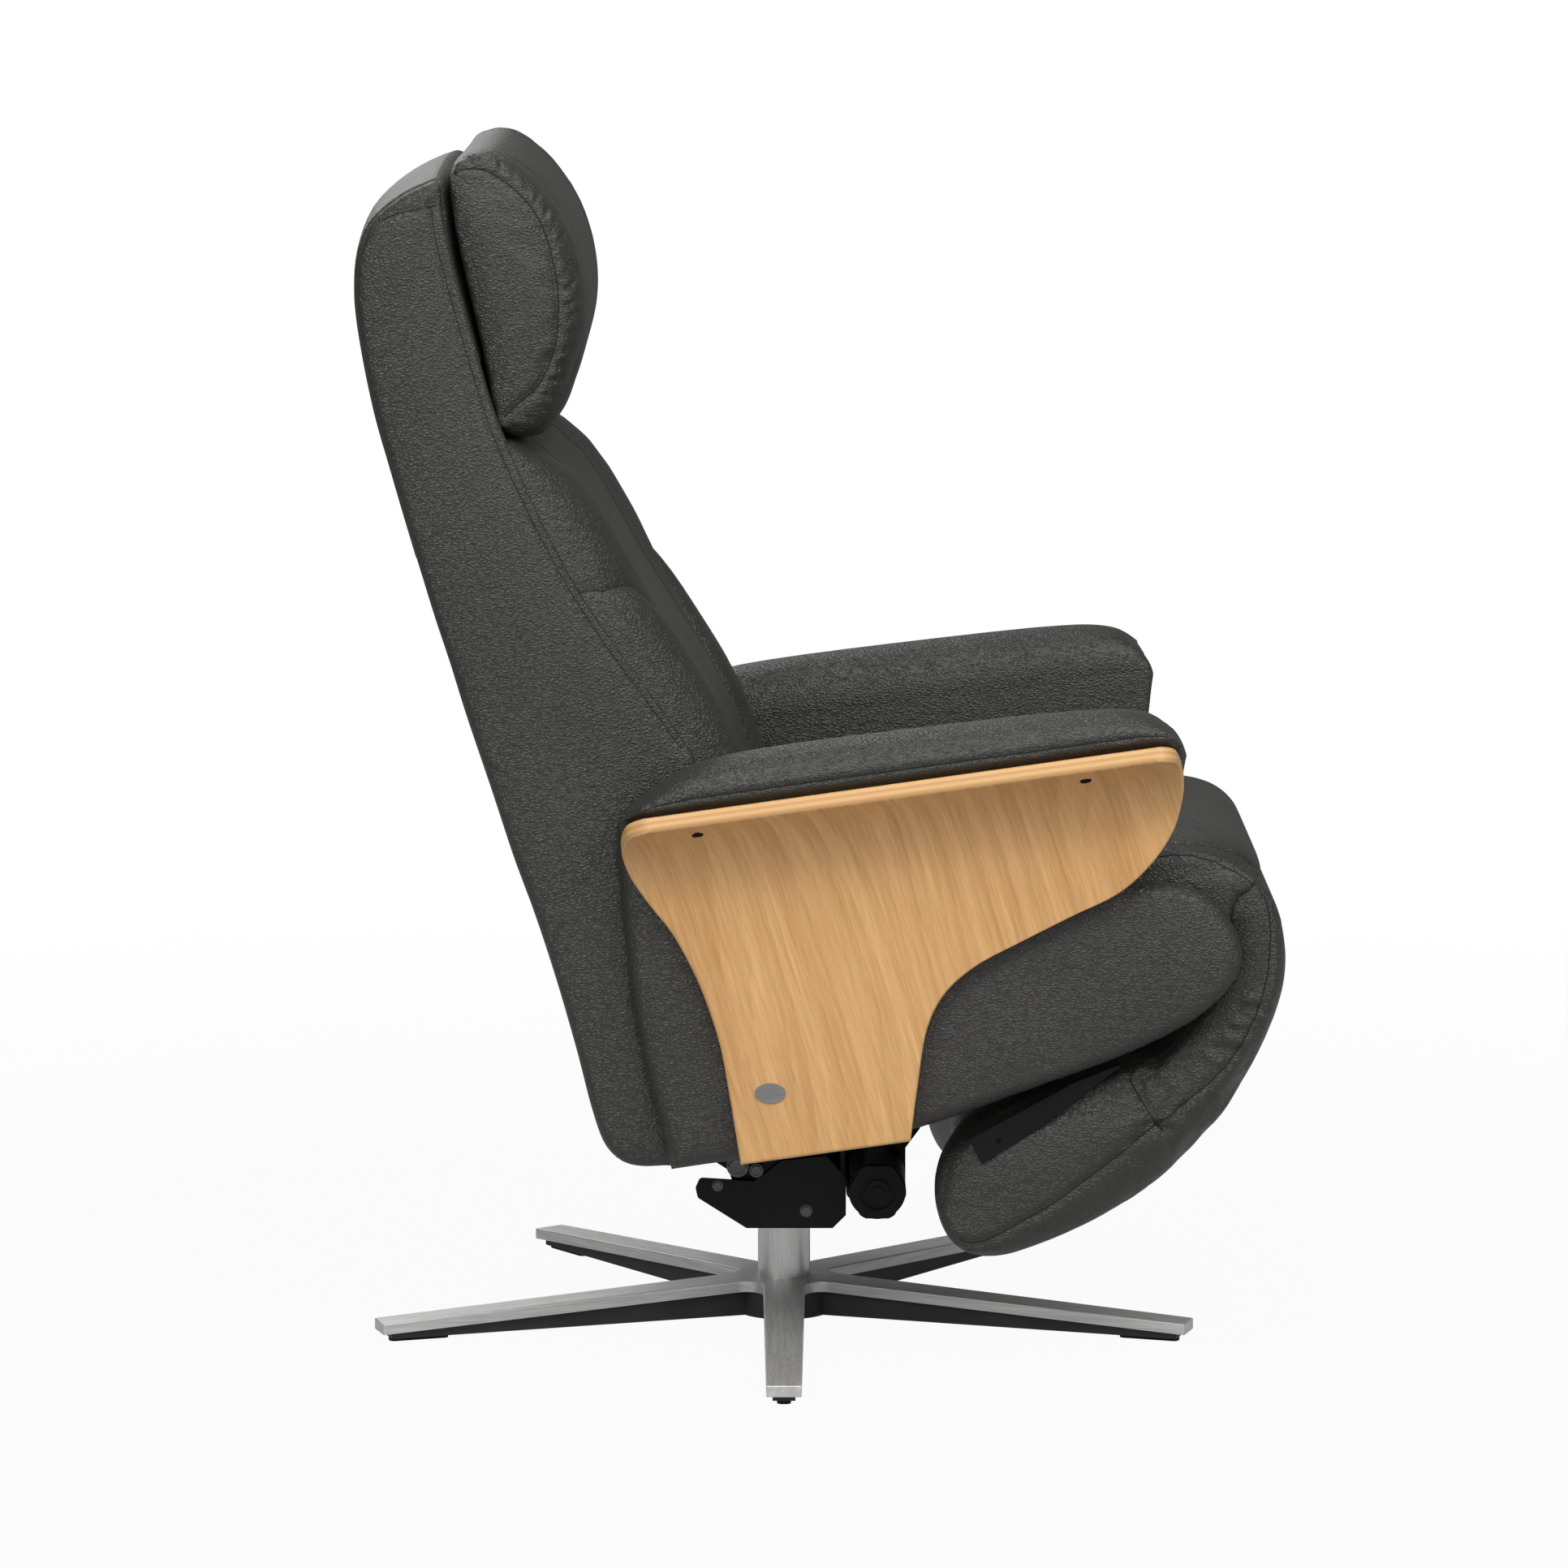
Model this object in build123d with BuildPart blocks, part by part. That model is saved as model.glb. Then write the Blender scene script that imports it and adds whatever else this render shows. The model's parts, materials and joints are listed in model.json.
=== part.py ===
from build123d import *
from math import atan2, cos, degrees, hypot, radians, sin, sqrt
import os

os.makedirs("parts", exist_ok=True)

# A power recliner on a five-legged swivel base.
# +X is the way the sitter faces, +Y is the sitter's left, and the floor is Z = 0.
# The origin is on the floor, on the swivel axis. All lengths are millimetres.

# Clearances
running_gap = 0.3
bore_clearance = 0.05
soft_gap = 0.6

# Star base
leg_count = 5
leg_reach = 385.0
leg_tip_half = 15.4
leg_root_half = 19.5
star_thickness = 10.0
hub_radius = 45.0
hub_top = 37.0
leg_drop = 18.7
leg_fillet = 18.0
star_edge = 1.2
web_half = 10.0
web_hub_radius = 42.0
web_setback = 9.0
glide_height = 3.0
glide_length = 55.0
glide_half = 6.2

# Swivel column
column_radius = 24.0
column_wall = 2.5
column_length = 65.0
spindle_radius = 15.0
bush_length = 20.0
bush_flange = 3.0
socket_depth = 28.0
chassis_z = hub_top + column_length

# Widths across the chair, each measured from the middle plane outwards
seat_half = 257.0
side_gap = 5.0
side_thickness = 24.0
frame_half = 190.0
frame_to_rail = 30.0
ply = 14.0
back_side_thickness = 22.0
rail_half = frame_half + frame_to_rail
side_inner = seat_half + side_gap
side_outer = side_inner + side_thickness
ply_outer = side_outer + ply

# Joint centres as X and height above the mechanism floor
tilt_pivot = (-42.0, 57.0)
back_pivot = (-60.0, 228.0)
leg_pivot = (420.0, 314.0)
fold_pivot = (350.0, 84.0)
head_pivot = (-254.0, 756.0)

# Mechanism under the seat
box_half = 110.0
plate = 4.0
lug_radius = 10.0
pin_radius = 6.0
carrier_gap = 2.0
motor_centre = (84.0, 38.0)
motor_radius = 26.0
motor_length = 98.0
motor_cap = 8.0
gearbox_half = 27.0
gearbox_width = 66.0
gearbox_right = -30.0
crank_reach = 45.0
crank_angle = 42.0
crank_width = 18.0
roller_radius = 8.0
roller_width = 12.0
track_gap = 1.5

# Seat frame, in a plane that leans back with the seat
seat_slope = 8.0
rail_height = 216.0
rail_width = 20.0
rail_depth = 30.0
rail_wall = 2.0
rail_rear = -30.0
rail_front = 390.0
cross_tube = 20.0
cross_stations = (34.0, 150.0, 330.0)
strap_thickness = 2.0
strap_width = 46.0
hinge_plate = 4.0
hinge_pin_radius = 6.0
hinge_boss_radius = 14.0
standoff_radius = 10.0
standoff_stations = (110.0, 290.0)

# Seat cushion
cushion_rear = 10.0
cushion_step = 358.0
cushion_nose = 440.0
cushion_height = 104.0
seat_crown = 6.0
roll_radius = 22.0
nose_gap = 4.0

# Back
cover_thickness = 22.0
cover_crown = 8.0
frame_tube = 9.0
cushion_depth = 52.0

# Leg rest
calf_thickness = 42.0
bar_thickness = 3.5
bar_depth = 20.0
slot_half = 7.5
slot_margin = 9.0
lever_reach = 85.0
lever_angle = -116.0
lever_tube = 8.0
lever_contact = -26.0
leg_swing = 95.0

# Linear drives
drive_tube_radius = 14.0
drive_rod_radius = 8.0
rod_gap = 3.0
leg_drive_y = -60.0
back_drive_gap = 1.0
back_lever = (-80.0, 125.0)
back_drive_tail = (200.0, 183.0)
drive_housing = 46.0

# Arms
arm_height = 428.0
arm_bend = 82.0
arm_bend_angle = 68.0
arm_lip = 18.0
pad_crest = 38.0
pad_bulge = 4.0
pad_screw_radius = 4.0
screw_hole_radius = 5.0
badge_length = 27.0
badge_height = 18.0
badge_thickness = 1.2

# Switches on the inner side of the right arm
switch_station = 215.0
switch_drop = 26.0
bezel_length = 92.0
bezel_height = 26.0
button_radius = 7.0
button_pitch = 20.0
button_proud = 2.5
button_clearance = 0.35
button_travel = 1.5


def side_plane(y):
    """Side-view plane at the given Y: sketch X is chair X, sketch Y is height above the mechanism."""
    return Plane((0, y, chassis_z), x_dir=(1, 0, 0), z_dir=(0, -1, 0))


def shift(point, dx, dz):
    """The point moved by dx and dz."""
    return (point[0] + dx, point[1] + dz)


def polar_point(centre, reach, angle):
    """The point at the given reach and angle in degrees from a centre."""
    return (centre[0] + reach * cos(radians(angle)), centre[1] + reach * sin(radians(angle)))


def closed_face(start, *moves):
    """Fill the outline from start along moves: a point is a line, a pair of points an arc."""
    with BuildLine() as outline:
        at = start
        for move in moves:
            if isinstance(move[0], tuple):
                ThreePointArc(at, move[0], move[1])
                at = move[1]
            else:
                Line(at, move)
                at = move
        if at != start:
            Line(at, start)
    make_face(outline.edges())


def rounded_face(*corners):
    """Fill a polygon whose corners are (x, height, radius), each rounded by its radius."""
    with BuildLine() as outline:
        points = [corner[:2] for corner in corners]
        radii = [corner[2] for corner in corners]
        FilletPolyline(*points, radius=radii, close=True)
    make_face(outline.edges())


def link_face(first, second, first_radius, second_radius):
    """Fill the outline of a link: two round ends joined by straight sides."""
    with Locations(first):
        Circle(first_radius)
    with Locations(second):
        Circle(second_radius)
    length = hypot(second[0] - first[0], second[1] - first[1])
    along = ((second[0] - first[0]) / length, (second[1] - first[1]) / length)
    lean = (first_radius - second_radius) / length
    square = sqrt(1 - lean * lean)
    normals = [
        (along[0] * lean - along[1] * square, along[1] * lean + along[0] * square),
        (along[0] * lean + along[1] * square, along[1] * lean - along[0] * square),
    ]
    corners = [
        (first[0] + normals[0][0] * first_radius, first[1] + normals[0][1] * first_radius),
        (second[0] + normals[0][0] * second_radius, second[1] + normals[0][1] * second_radius),
        (second[0] + normals[1][0] * second_radius, second[1] + normals[1][1] * second_radius),
        (first[0] + normals[1][0] * first_radius, first[1] + normals[1][1] * first_radius),
    ]
    with BuildLine() as outline:
        Polyline(*corners, close=True)
    make_face(outline.edges())


def write(piece, name):
    """Label a finished piece and write it as one node."""
    piece.part.label = name
    export_step(piece.part, f"parts/{name}.step")


# Star base: a plan outline cut from a shallow cone, with dark webs below and a glide at each tip


def cone_layer(top, thickness):
    """Half section of a layer that is flat over the hub and slopes down to the leg tips."""
    reach = leg_reach + leg_tip_half
    edge = top - leg_drop * (reach - hub_radius) / (leg_reach - hub_radius)
    with BuildLine() as outline:
        Polyline((0, top), (hub_radius, top), (reach, edge), (reach, edge - thickness),
                 (hub_radius, top - thickness), (0, top - thickness), close=True)
    make_face(outline.edges())


with BuildPart() as star_base:
    with BuildSketch() as star_plan:
        Circle(hub_radius)
        with PolarLocations(0, leg_count, start_angle=-90):
            Polygon((0, -leg_root_half), (leg_reach, -leg_tip_half), (leg_reach, leg_tip_half),
                    (0, leg_root_half), align=None)
        inner_corners = star_plan.vertices().filter_by(
            lambda v: hypot(v.X, v.Y) < hub_radius + leg_root_half)
        fillet(inner_corners, leg_fillet)
    extrude(amount=hub_top)
    with BuildSketch(Plane.XZ):
        cone_layer(hub_top, star_thickness)
    revolve(axis=Axis.Z, mode=Mode.INTERSECT)
    with Locations((0, 0, hub_top)):
        Hole(column_radius)
    top_edges = star_base.faces().filter_by(lambda f: f.normal_at().Z > 0.9).edges()
    leg_edges = top_edges.filter_by(lambda e: hypot(e.center().X, e.center().Y) > hub_radius + leg_root_half)
    fillet(leg_edges, star_edge)
write(star_base, "star_base")

web_top = hub_top - star_thickness
with BuildPart() as base_webs:
    with BuildSketch():
        Circle(web_hub_radius)
        with PolarLocations(0, leg_count, start_angle=-90):
            with Locations(((leg_reach - web_setback) / 2, 0)):
                Rectangle(leg_reach - web_setback, 2 * web_half)
    extrude(amount=hub_top)
    with BuildSketch(Plane.XZ):
        with BuildLine():
            web_reach = leg_reach + leg_tip_half
            web_edge = web_top - leg_drop * (web_reach - hub_radius) / (leg_reach - hub_radius)
            Polyline((0, web_top), (hub_radius, web_top), (web_reach, web_edge), (web_reach, glide_height),
                     (0, glide_height), close=True)
        make_face()
    revolve(axis=Axis.Z, mode=Mode.INTERSECT)
    with Locations((0, 0, web_top)):
        Hole(column_radius, depth=socket_depth - star_thickness)
write(base_webs, "base_webs")

with BuildPart() as floor_glides:
    with BuildSketch():
        with PolarLocations(leg_reach - web_setback - glide_length / 2, leg_count, start_angle=-90):
            RectangleRounded(glide_length, 2 * glide_half, glide_half * 0.8)
    extrude(amount=glide_height)
write(floor_glides, "floor_glides")

# Swivel column: a fixed tube with two bushes, and a spindle that turns in them
tube_bottom = hub_top - socket_depth
tube_top = chassis_z - running_gap - bush_flange
tube_bore = column_radius - column_wall
bush_bore = spindle_radius + bore_clearance

with BuildPart() as column_tube:
    with BuildSketch(Plane.XY.offset(tube_bottom)):
        Circle(column_radius)
        Circle(tube_bore, mode=Mode.SUBTRACT)
    extrude(amount=tube_top - tube_bottom)
write(column_tube, "column_tube")

with BuildPart() as swivel_bushes:
    with BuildSketch(Plane.XY.offset(tube_bottom)):
        Circle(tube_bore)
        Circle(bush_bore, mode=Mode.SUBTRACT)
    extrude(amount=bush_length)
    with BuildSketch(Plane.XY.offset(tube_top - bush_length)):
        Circle(tube_bore)
        Circle(bush_bore, mode=Mode.SUBTRACT)
    extrude(amount=bush_length)
    with BuildSketch(Plane.XY.offset(tube_top)):
        Circle(column_radius)
        Circle(bush_bore, mode=Mode.SUBTRACT)
    extrude(amount=bush_flange)
write(swivel_bushes, "swivel_bushes")

with BuildPart() as swivel_spindle:
    with BuildSketch(Plane.XY.offset(tube_bottom + running_gap)):
        Circle(spindle_radius)
    extrude(amount=chassis_z - tube_bottom - running_gap)
write(swivel_spindle, "swivel_spindle")

# Mechanism base: a folded steel box with two inner ears that carry the seat's tilt pins
carrier_outer = box_half - plate - carrier_gap
carrier_inner = carrier_outer - plate
back_drive_y = carrier_inner - drive_tube_radius - back_drive_gap
ear_outer = carrier_inner - carrier_gap
ear_inner = ear_outer - plate
gearbox_pad = 1.0
box_front = motor_centre[0] - gearbox_half - gearbox_pad
box_floor_rear = -34.0
box_chamfer = 12.0
box_lip = 46.0
box_nose = (-80.0, 37.0)
box_crown = (38.0, 66.0)

with BuildPart() as mechanism_base:
    with BuildSketch(side_plane(box_half)):
        with BuildLine():
            FilletPolyline((box_floor_rear, 0), (box_front - box_chamfer, 0), (box_front, box_chamfer),
                           (box_front, box_lip), box_crown, (-2, 62), (-26, 43), (-76, 46), box_nose,
                           (-78, 28), radius=plate, close=True)
        make_face()
    extrude(amount=plate)
    with BuildSketch(side_plane(ear_outer)):
        closed_face((box_floor_rear, 0), (-12, 0), shift(tilt_pivot, lug_radius, 0),
                    (shift(tilt_pivot, 0, lug_radius), shift(tilt_pivot, -lug_radius, 0)))
    extrude(amount=plate)
    mirror(about=Plane.XZ)
    with BuildSketch(side_plane(box_half)):
        closed_face((box_floor_rear, 0), (box_front - box_chamfer, 0), (box_front - box_chamfer, plate),
                    (box_floor_rear, plate))
    extrude(amount=2 * box_half)
    with BuildSketch(side_plane(box_half)):
        closed_face((box_front - plate, box_chamfer - 2), (box_front, box_chamfer), (box_front, box_lip),
                    (box_front - plate, box_lip))
    extrude(amount=2 * box_half)
    with BuildSketch(side_plane(box_half)):
        closed_face((box_front - box_chamfer, 0), (box_front, box_chamfer),
                    (box_front - plate, box_chamfer), (box_front - box_chamfer - 2, plate - 1))
    extrude(amount=2 * box_half)
    with BuildSketch(side_plane(box_half)):
        with Locations(tilt_pivot):
            Circle(pin_radius)
    extrude(amount=2 * box_half, mode=Mode.SUBTRACT)
write(mechanism_base, "mechanism_base")

with BuildPart() as tilt_pivot_pins:
    with BuildSketch(side_plane(-ear_inner)):
        with Locations(tilt_pivot):
            Circle(pin_radius)
    extrude(amount=box_half - plate - ear_inner)
    mirror(about=Plane.XZ)
write(tilt_pivot_pins, "tilt_pivot_pins")

# Tilt motor, its cap and its gearbox, bolted to the front of the mechanism base
motor_right = gearbox_right - motor_length
with BuildPart() as tilt_motor:
    with BuildSketch(side_plane(gearbox_right)):
        with Locations(motor_centre):
            Circle(motor_radius)
    extrude(amount=motor_length)
write(tilt_motor, "tilt_motor")

with BuildPart() as tilt_motor_cap:
    with BuildSketch(side_plane(motor_right)):
        with Locations(motor_centre):
            Circle(motor_radius)
            RegularPolygon(motor_radius * 0.92, 6, major_radius=False, mode=Mode.INTERSECT)
    extrude(amount=motor_cap)
    with BuildSketch(side_plane(motor_right - motor_cap)):
        with Locations(motor_centre):
            Circle(motor_radius * 0.62)
            Circle(motor_radius * 0.42, mode=Mode.SUBTRACT)
    extrude(amount=-motor_cap / 3, mode=Mode.SUBTRACT)
    with BuildSketch(side_plane(motor_right - motor_cap)):
        with Locations(motor_centre):
            Circle(motor_radius * 0.2)
    extrude(amount=motor_cap / 4)
write(tilt_motor_cap, "tilt_motor_cap")

shaft_radius = 8.0
gearbox_left = gearbox_right + gearbox_width
with BuildPart() as tilt_gearbox:
    with BuildSketch(side_plane(gearbox_left)):
        with Locations(motor_centre):
            RectangleRounded(2 * gearbox_half, 2 * gearbox_half, 6)
    extrude(amount=gearbox_width)
    with BuildSketch(side_plane(gearbox_left)):
        with Locations(shift(motor_centre, -gearbox_half - gearbox_pad / 2, 0)):
            Rectangle(gearbox_pad, gearbox_half)
    extrude(amount=gearbox_width)
    with BuildSketch(side_plane(gearbox_left)):
        with Locations(motor_centre):
            Circle(shaft_radius + bore_clearance)
    extrude(amount=gearbox_width / 2, mode=Mode.SUBTRACT)
write(tilt_gearbox, "tilt_gearbox")

# Crank on the gearbox shaft, with the roller that lifts the seat
crank_end = polar_point(motor_centre, crank_reach, crank_angle)
crank_right = gearbox_left + 1.0
crank_left = crank_right + plate + 2
with BuildPart() as tilt_crank:
    with BuildSketch(side_plane(crank_left)):
        link_face(motor_centre, crank_end, crank_width, crank_width / 2)
    extrude(amount=crank_left - crank_right)
    with BuildSketch(side_plane(crank_right)):
        with Locations(motor_centre):
            Circle(shaft_radius)
    extrude(amount=gearbox_width / 2)
    with BuildSketch(side_plane(crank_left + roller_width)):
        with Locations(crank_end):
            Circle(roller_radius)
    extrude(amount=roller_width)
write(tilt_crank, "tilt_crank")

# Seat frame: two rails with hinge plates at both ends, three cross tubes and elastic straps
slope = radians(seat_slope)
seat_plane = Plane((0, 0, chassis_z + rail_height), x_dir=(cos(slope), 0, sin(slope)),
                   z_dir=(-sin(slope), 0, cos(slope)))
rail_inner = rail_half - rail_width / 2
rail_outer = rail_half + rail_width / 2


def to_chair(u, w):
    """Side-view point of a place u along the seat and w above the rails."""
    return (u * cos(slope) - w * sin(slope), rail_height + u * sin(slope) + w * cos(slope))


def to_seat(point):
    """Place along the seat and above the rails of a side-view point."""
    dx = point[0]
    dz = point[1] - rail_height
    return (dx * cos(slope) + dz * sin(slope), dz * cos(slope) - dx * sin(slope))


def hinge_face(rail_corner, rail_corner_below, corner, centre):
    """Fill a hinge plate from a rail's end to a round ear at the joint's centre."""
    link_face(corner, centre, hinge_boss_radius * 0.8, hinge_boss_radius * 0.8)
    with BuildLine() as outline:
        Polyline(rail_corner, corner, rail_corner_below, close=True)
    make_face(outline.edges())


leg_hinge_seat = to_seat(leg_pivot)
with BuildPart() as seat_rails:
    with BuildSketch(side_plane(-rail_inner)):
        closed_face(to_chair(rail_rear, 0), to_chair(rail_front, 0), to_chair(rail_front, -rail_depth),
                    to_chair(rail_rear, -rail_depth))
    extrude(amount=rail_width)
    with BuildSketch(side_plane(-rail_inner - rail_wall)):
        closed_face(to_chair(rail_rear, -rail_wall), to_chair(rail_front, -rail_wall),
                    to_chair(rail_front, rail_wall - rail_depth),
                    to_chair(rail_rear, rail_wall - rail_depth))
    extrude(amount=rail_width - 2 * rail_wall, mode=Mode.SUBTRACT)
    with BuildSketch(side_plane(hinge_plate - rail_inner)):
        hinge_face(to_chair(rail_rear + rail_depth, 0), to_chair(rail_rear, -rail_depth),
                   to_chair(rail_rear - 2, -rail_depth / 3), back_pivot)
        hinge_face(to_chair(rail_front - 1.5 * rail_depth, -rail_depth),
                   to_chair(rail_front - rail_depth, 0),
                   to_chair(rail_front - hinge_boss_radius, -rail_depth / 3),
                   to_chair(rail_front - hinge_boss_radius, leg_hinge_seat[1]))
        link_face(to_chair(rail_front - hinge_boss_radius, leg_hinge_seat[1]), leg_pivot,
                  hinge_boss_radius * 0.8, hinge_boss_radius * 0.8)
    extrude(amount=hinge_plate + rail_wall)
    with BuildSketch(side_plane(hinge_plate - rail_inner)):
        with Locations(back_pivot, leg_pivot):
            Circle(hinge_pin_radius)
    extrude(amount=2 * hinge_plate, mode=Mode.SUBTRACT)
    mirror(about=Plane.XZ)
write(seat_rails, "seat_rails")

track_height = crank_end[1] + roller_radius + track_gap
with BuildPart() as seat_cross_tubes:
    for station in cross_stations:
        with BuildSketch(side_plane(rail_inner)):
            closed_face(to_chair(station - cross_tube / 2, 0), to_chair(station + cross_tube / 2, 0),
                        to_chair(station + cross_tube / 2, -cross_tube),
                        to_chair(station - cross_tube / 2, -cross_tube))
        extrude(amount=2 * rail_inner)
write(seat_cross_tubes, "seat_cross_tubes")

track_foot = shift(crank_end, -crank_reach * 0.75, track_height - crank_end[1])
track_toe = shift(crank_end, roller_radius / 2, track_height - crank_end[1])
track_left = crank_left + roller_width + 2
with BuildPart() as tilt_track:
    with BuildSketch(side_plane(track_left)):
        closed_face(track_foot, track_toe, shift(track_toe, 0, 2 * crank_width),
                    to_chair(cross_stations[1] + cross_tube / 2, -cross_tube),
                    to_chair(cross_stations[1] - cross_tube / 2, -cross_tube), shift(track_foot, 0, plate))
    extrude(amount=roller_width + 2)
write(tilt_track, "tilt_track")

carrier_top = [to_chair(cross_stations[0] - cross_tube / 2, -cross_tube),
               to_chair(cross_stations[1] + cross_tube / 2, -cross_tube)]
with BuildPart() as seat_carriers:
    with BuildSketch(side_plane(-carrier_inner)):
        with Locations(tilt_pivot):
            Circle(lug_radius)
        with BuildLine():
            Polyline(shift(tilt_pivot, 0, lug_radius), (4, 72), (14, 92), carrier_top[0], carrier_top[1],
                     (118, 170), (52, 82), (24, 52), shift(tilt_pivot, 0, -lug_radius), close=True)
        make_face()
        with Locations(tilt_pivot):
            Circle(pin_radius + bore_clearance, mode=Mode.SUBTRACT)
    extrude(amount=plate)
    mirror(about=Plane.XZ)
write(seat_carriers, "seat_carriers")

with BuildPart() as back_pivot_pins:
    with BuildSketch(side_plane(-frame_half)):
        with Locations(back_pivot):
            Circle(hinge_pin_radius)
    extrude(amount=rail_inner - frame_half)
    mirror(about=Plane.XZ)
write(back_pivot_pins, "back_pivot_pins")

leg_arm_outer = rail_inner - hinge_plate - 2.0
leg_arm_inner = leg_arm_outer - hinge_plate
with BuildPart() as leg_pivot_pins:
    with BuildSketch(side_plane(-leg_arm_inner)):
        with Locations(leg_pivot):
            Circle(hinge_pin_radius)
    extrude(amount=rail_inner - leg_arm_inner)
    mirror(about=Plane.XZ)
write(leg_pivot_pins, "leg_pivot_pins")

with BuildPart() as seat_webbing:
    strap_start = cross_stations[0] - cross_tube / 2
    strap_end = cross_stations[-1] + cross_tube / 2
    strap_count = 5
    strap_pitch = 2 * rail_inner / strap_count
    with BuildSketch(seat_plane):
        with Locations(((strap_start + strap_end) / 2, 0)):
            with GridLocations(0, strap_pitch, 1, strap_count):
                Rectangle(strap_end - strap_start, strap_width)
    extrude(amount=strap_thickness)
write(seat_webbing, "seat_webbing")

# Seat cushion: crowned across its width, drawn in at both sides, its nose over the leg rest's roll
cushion_floor = strap_thickness + running_gap
nose_floor = leg_hinge_seat[1] + roll_radius + nose_gap


def seat_section(drop, inset):
    """Side outline of the seat cushion, lowered by drop and drawn in by inset."""
    top = cushion_height - drop
    closed_face(
        to_chair(cushion_rear + inset, cushion_floor),
        to_chair(cushion_rear + inset, top * 0.72),
        (to_chair(cushion_rear + 14 + inset, top * 0.87), to_chair(cushion_rear + 52, top * 0.93)),
        (to_chair(200, top * 0.985), to_chair(348, top)),
        (to_chair(cushion_nose - 26 - inset, top * 0.93), to_chair(cushion_nose - inset, top * 0.72)),
        (to_chair(cushion_nose - 2 - inset, nose_floor + 4),
         to_chair(cushion_nose - 14 - inset, nose_floor)),
        to_chair(cushion_step, nose_floor),
        to_chair(cushion_step, cushion_floor),
    )


seat_stations = ((-1.0, 26, 18), (-0.93, 8, 6), (-0.5, 0, 0), (0.0, -seat_crown, -2))
with BuildPart() as seat_cushion:
    for share, drop, inset in seat_stations + tuple((-a, b, c) for a, b, c in reversed(seat_stations[:-1])):
        with BuildSketch(side_plane(share * seat_half)):
            seat_section(drop, inset)
    loft()
write(seat_cushion, "seat_cushion")

# Seat sides: upholstered boards that carry the arms, rounded at the front
side_top_rear = (-147.0, 398.0)
side_top_front = (310.0, 341.0)
side_front = 404.0
side_rim = 8.0
with BuildPart() as seat_side_right:
    with BuildSketch(side_plane(-side_inner)):
        rounded_face(
            (-98, 83, 12), (130, 122, 300), (310, 190, 260), (side_front, 236, 46), (side_front, 341, 52),
            (*side_top_front, 80), (*side_top_rear, 22), (-140, 270, 600),
        )
    extrude(amount=side_thickness)
    with BuildSketch(side_plane(-side_inner)):
        for station in standoff_stations:
            with Locations(to_chair(station, -rail_depth / 2)):
                Circle(standoff_radius / 2)
    extrude(amount=side_thickness / 2, mode=Mode.SUBTRACT)
    outer_rim = seat_side_right.faces().sort_by(Axis.Y)[0].edges()
    fillet(outer_rim, side_rim)
with BuildPart() as seat_side_left:
    mirror(seat_side_right.part, about=Plane.XZ)
write(seat_side_right, "seat_side_right")
write(seat_side_left, "seat_side_left")

with BuildPart() as side_standoffs:
    for station in standoff_stations:
        with BuildSketch(side_plane(-rail_outer)):
            with Locations(to_chair(station, -rail_depth / 2)):
                Circle(standoff_radius)
        extrude(amount=side_inner - rail_outer)
        with BuildSketch(side_plane(-side_inner)):
            with Locations(to_chair(station, -rail_depth / 2)):
                Circle(standoff_radius / 2)
        extrude(amount=side_thickness / 2)
    mirror(about=Plane.XZ)
write(side_standoffs, "side_standoffs")

# Arms: a bent plywood panel that flares outwards at the top, with a padded leather rest on it
arm_plane = Plane((0, 0, chassis_z + arm_height), x_dir=(0, 1, 0), z_dir=(cos(slope), 0, sin(slope)))
bend_y = -(side_outer + ply / 2 + arm_bend)
bend_end = polar_point((0, 0), 1, arm_bend_angle)
bend_rise = arm_bend * bend_end[1] + arm_lip * bend_end[0]
bend_w = -bend_rise - ply / 2 * bend_end[1]
panel_foot = -arm_height
arm_run = 700.0


def bend_point(radius, angle):
    """Point of the bend at a radius and an angle from the upright part."""
    return polar_point((bend_y, bend_w), radius, angle)


def lip_point(radius):
    """End of the lip, at a radius of the bend carried straight on."""
    start = bend_point(radius, arm_bend_angle)
    return (start[0] - arm_lip * bend_end[1], start[1] + arm_lip * bend_end[0])


def arm_outline():
    """Side outline of the plywood panel: a narrow waist at the foot, spread at the top."""
    closed_face(
        (-38, 95), ((-52, 185), (-82, 270)), ((-122, arm_height - 98), (-142, arm_height - 48)),
        ((-138, arm_height - 30), (-118, arm_height - 19)), (-100, arm_height + 12), (330, arm_height + 72),
        (342, arm_height + 38), ((349, arm_height + 8), (340, arm_height - 36)),
        ((300, arm_height - 87), (208, arm_height - 135)), ((136, 240), (111, 115)),
    )


inner_bend = arm_bend + ply / 2
outer_bend = arm_bend - ply / 2
screw_stations = (-79.0, 260.0)
screw_angle = 60.0


def screw_plane(station):
    """Plane across the panel's flare at a station along the arm, facing away from the bend's centre."""
    middle = bend_point(arm_bend, screw_angle)
    out = (0, cos(radians(screw_angle)), sin(radians(screw_angle)))
    normal = (-sin(slope) * out[2], out[1], cos(slope) * out[2])
    centre = (station * cos(slope) - middle[1] * sin(slope), middle[0],
              chassis_z + arm_height + station * sin(slope) + middle[1] * cos(slope))
    return Plane(centre, x_dir=(cos(slope), 0, sin(slope)), z_dir=normal)


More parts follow.
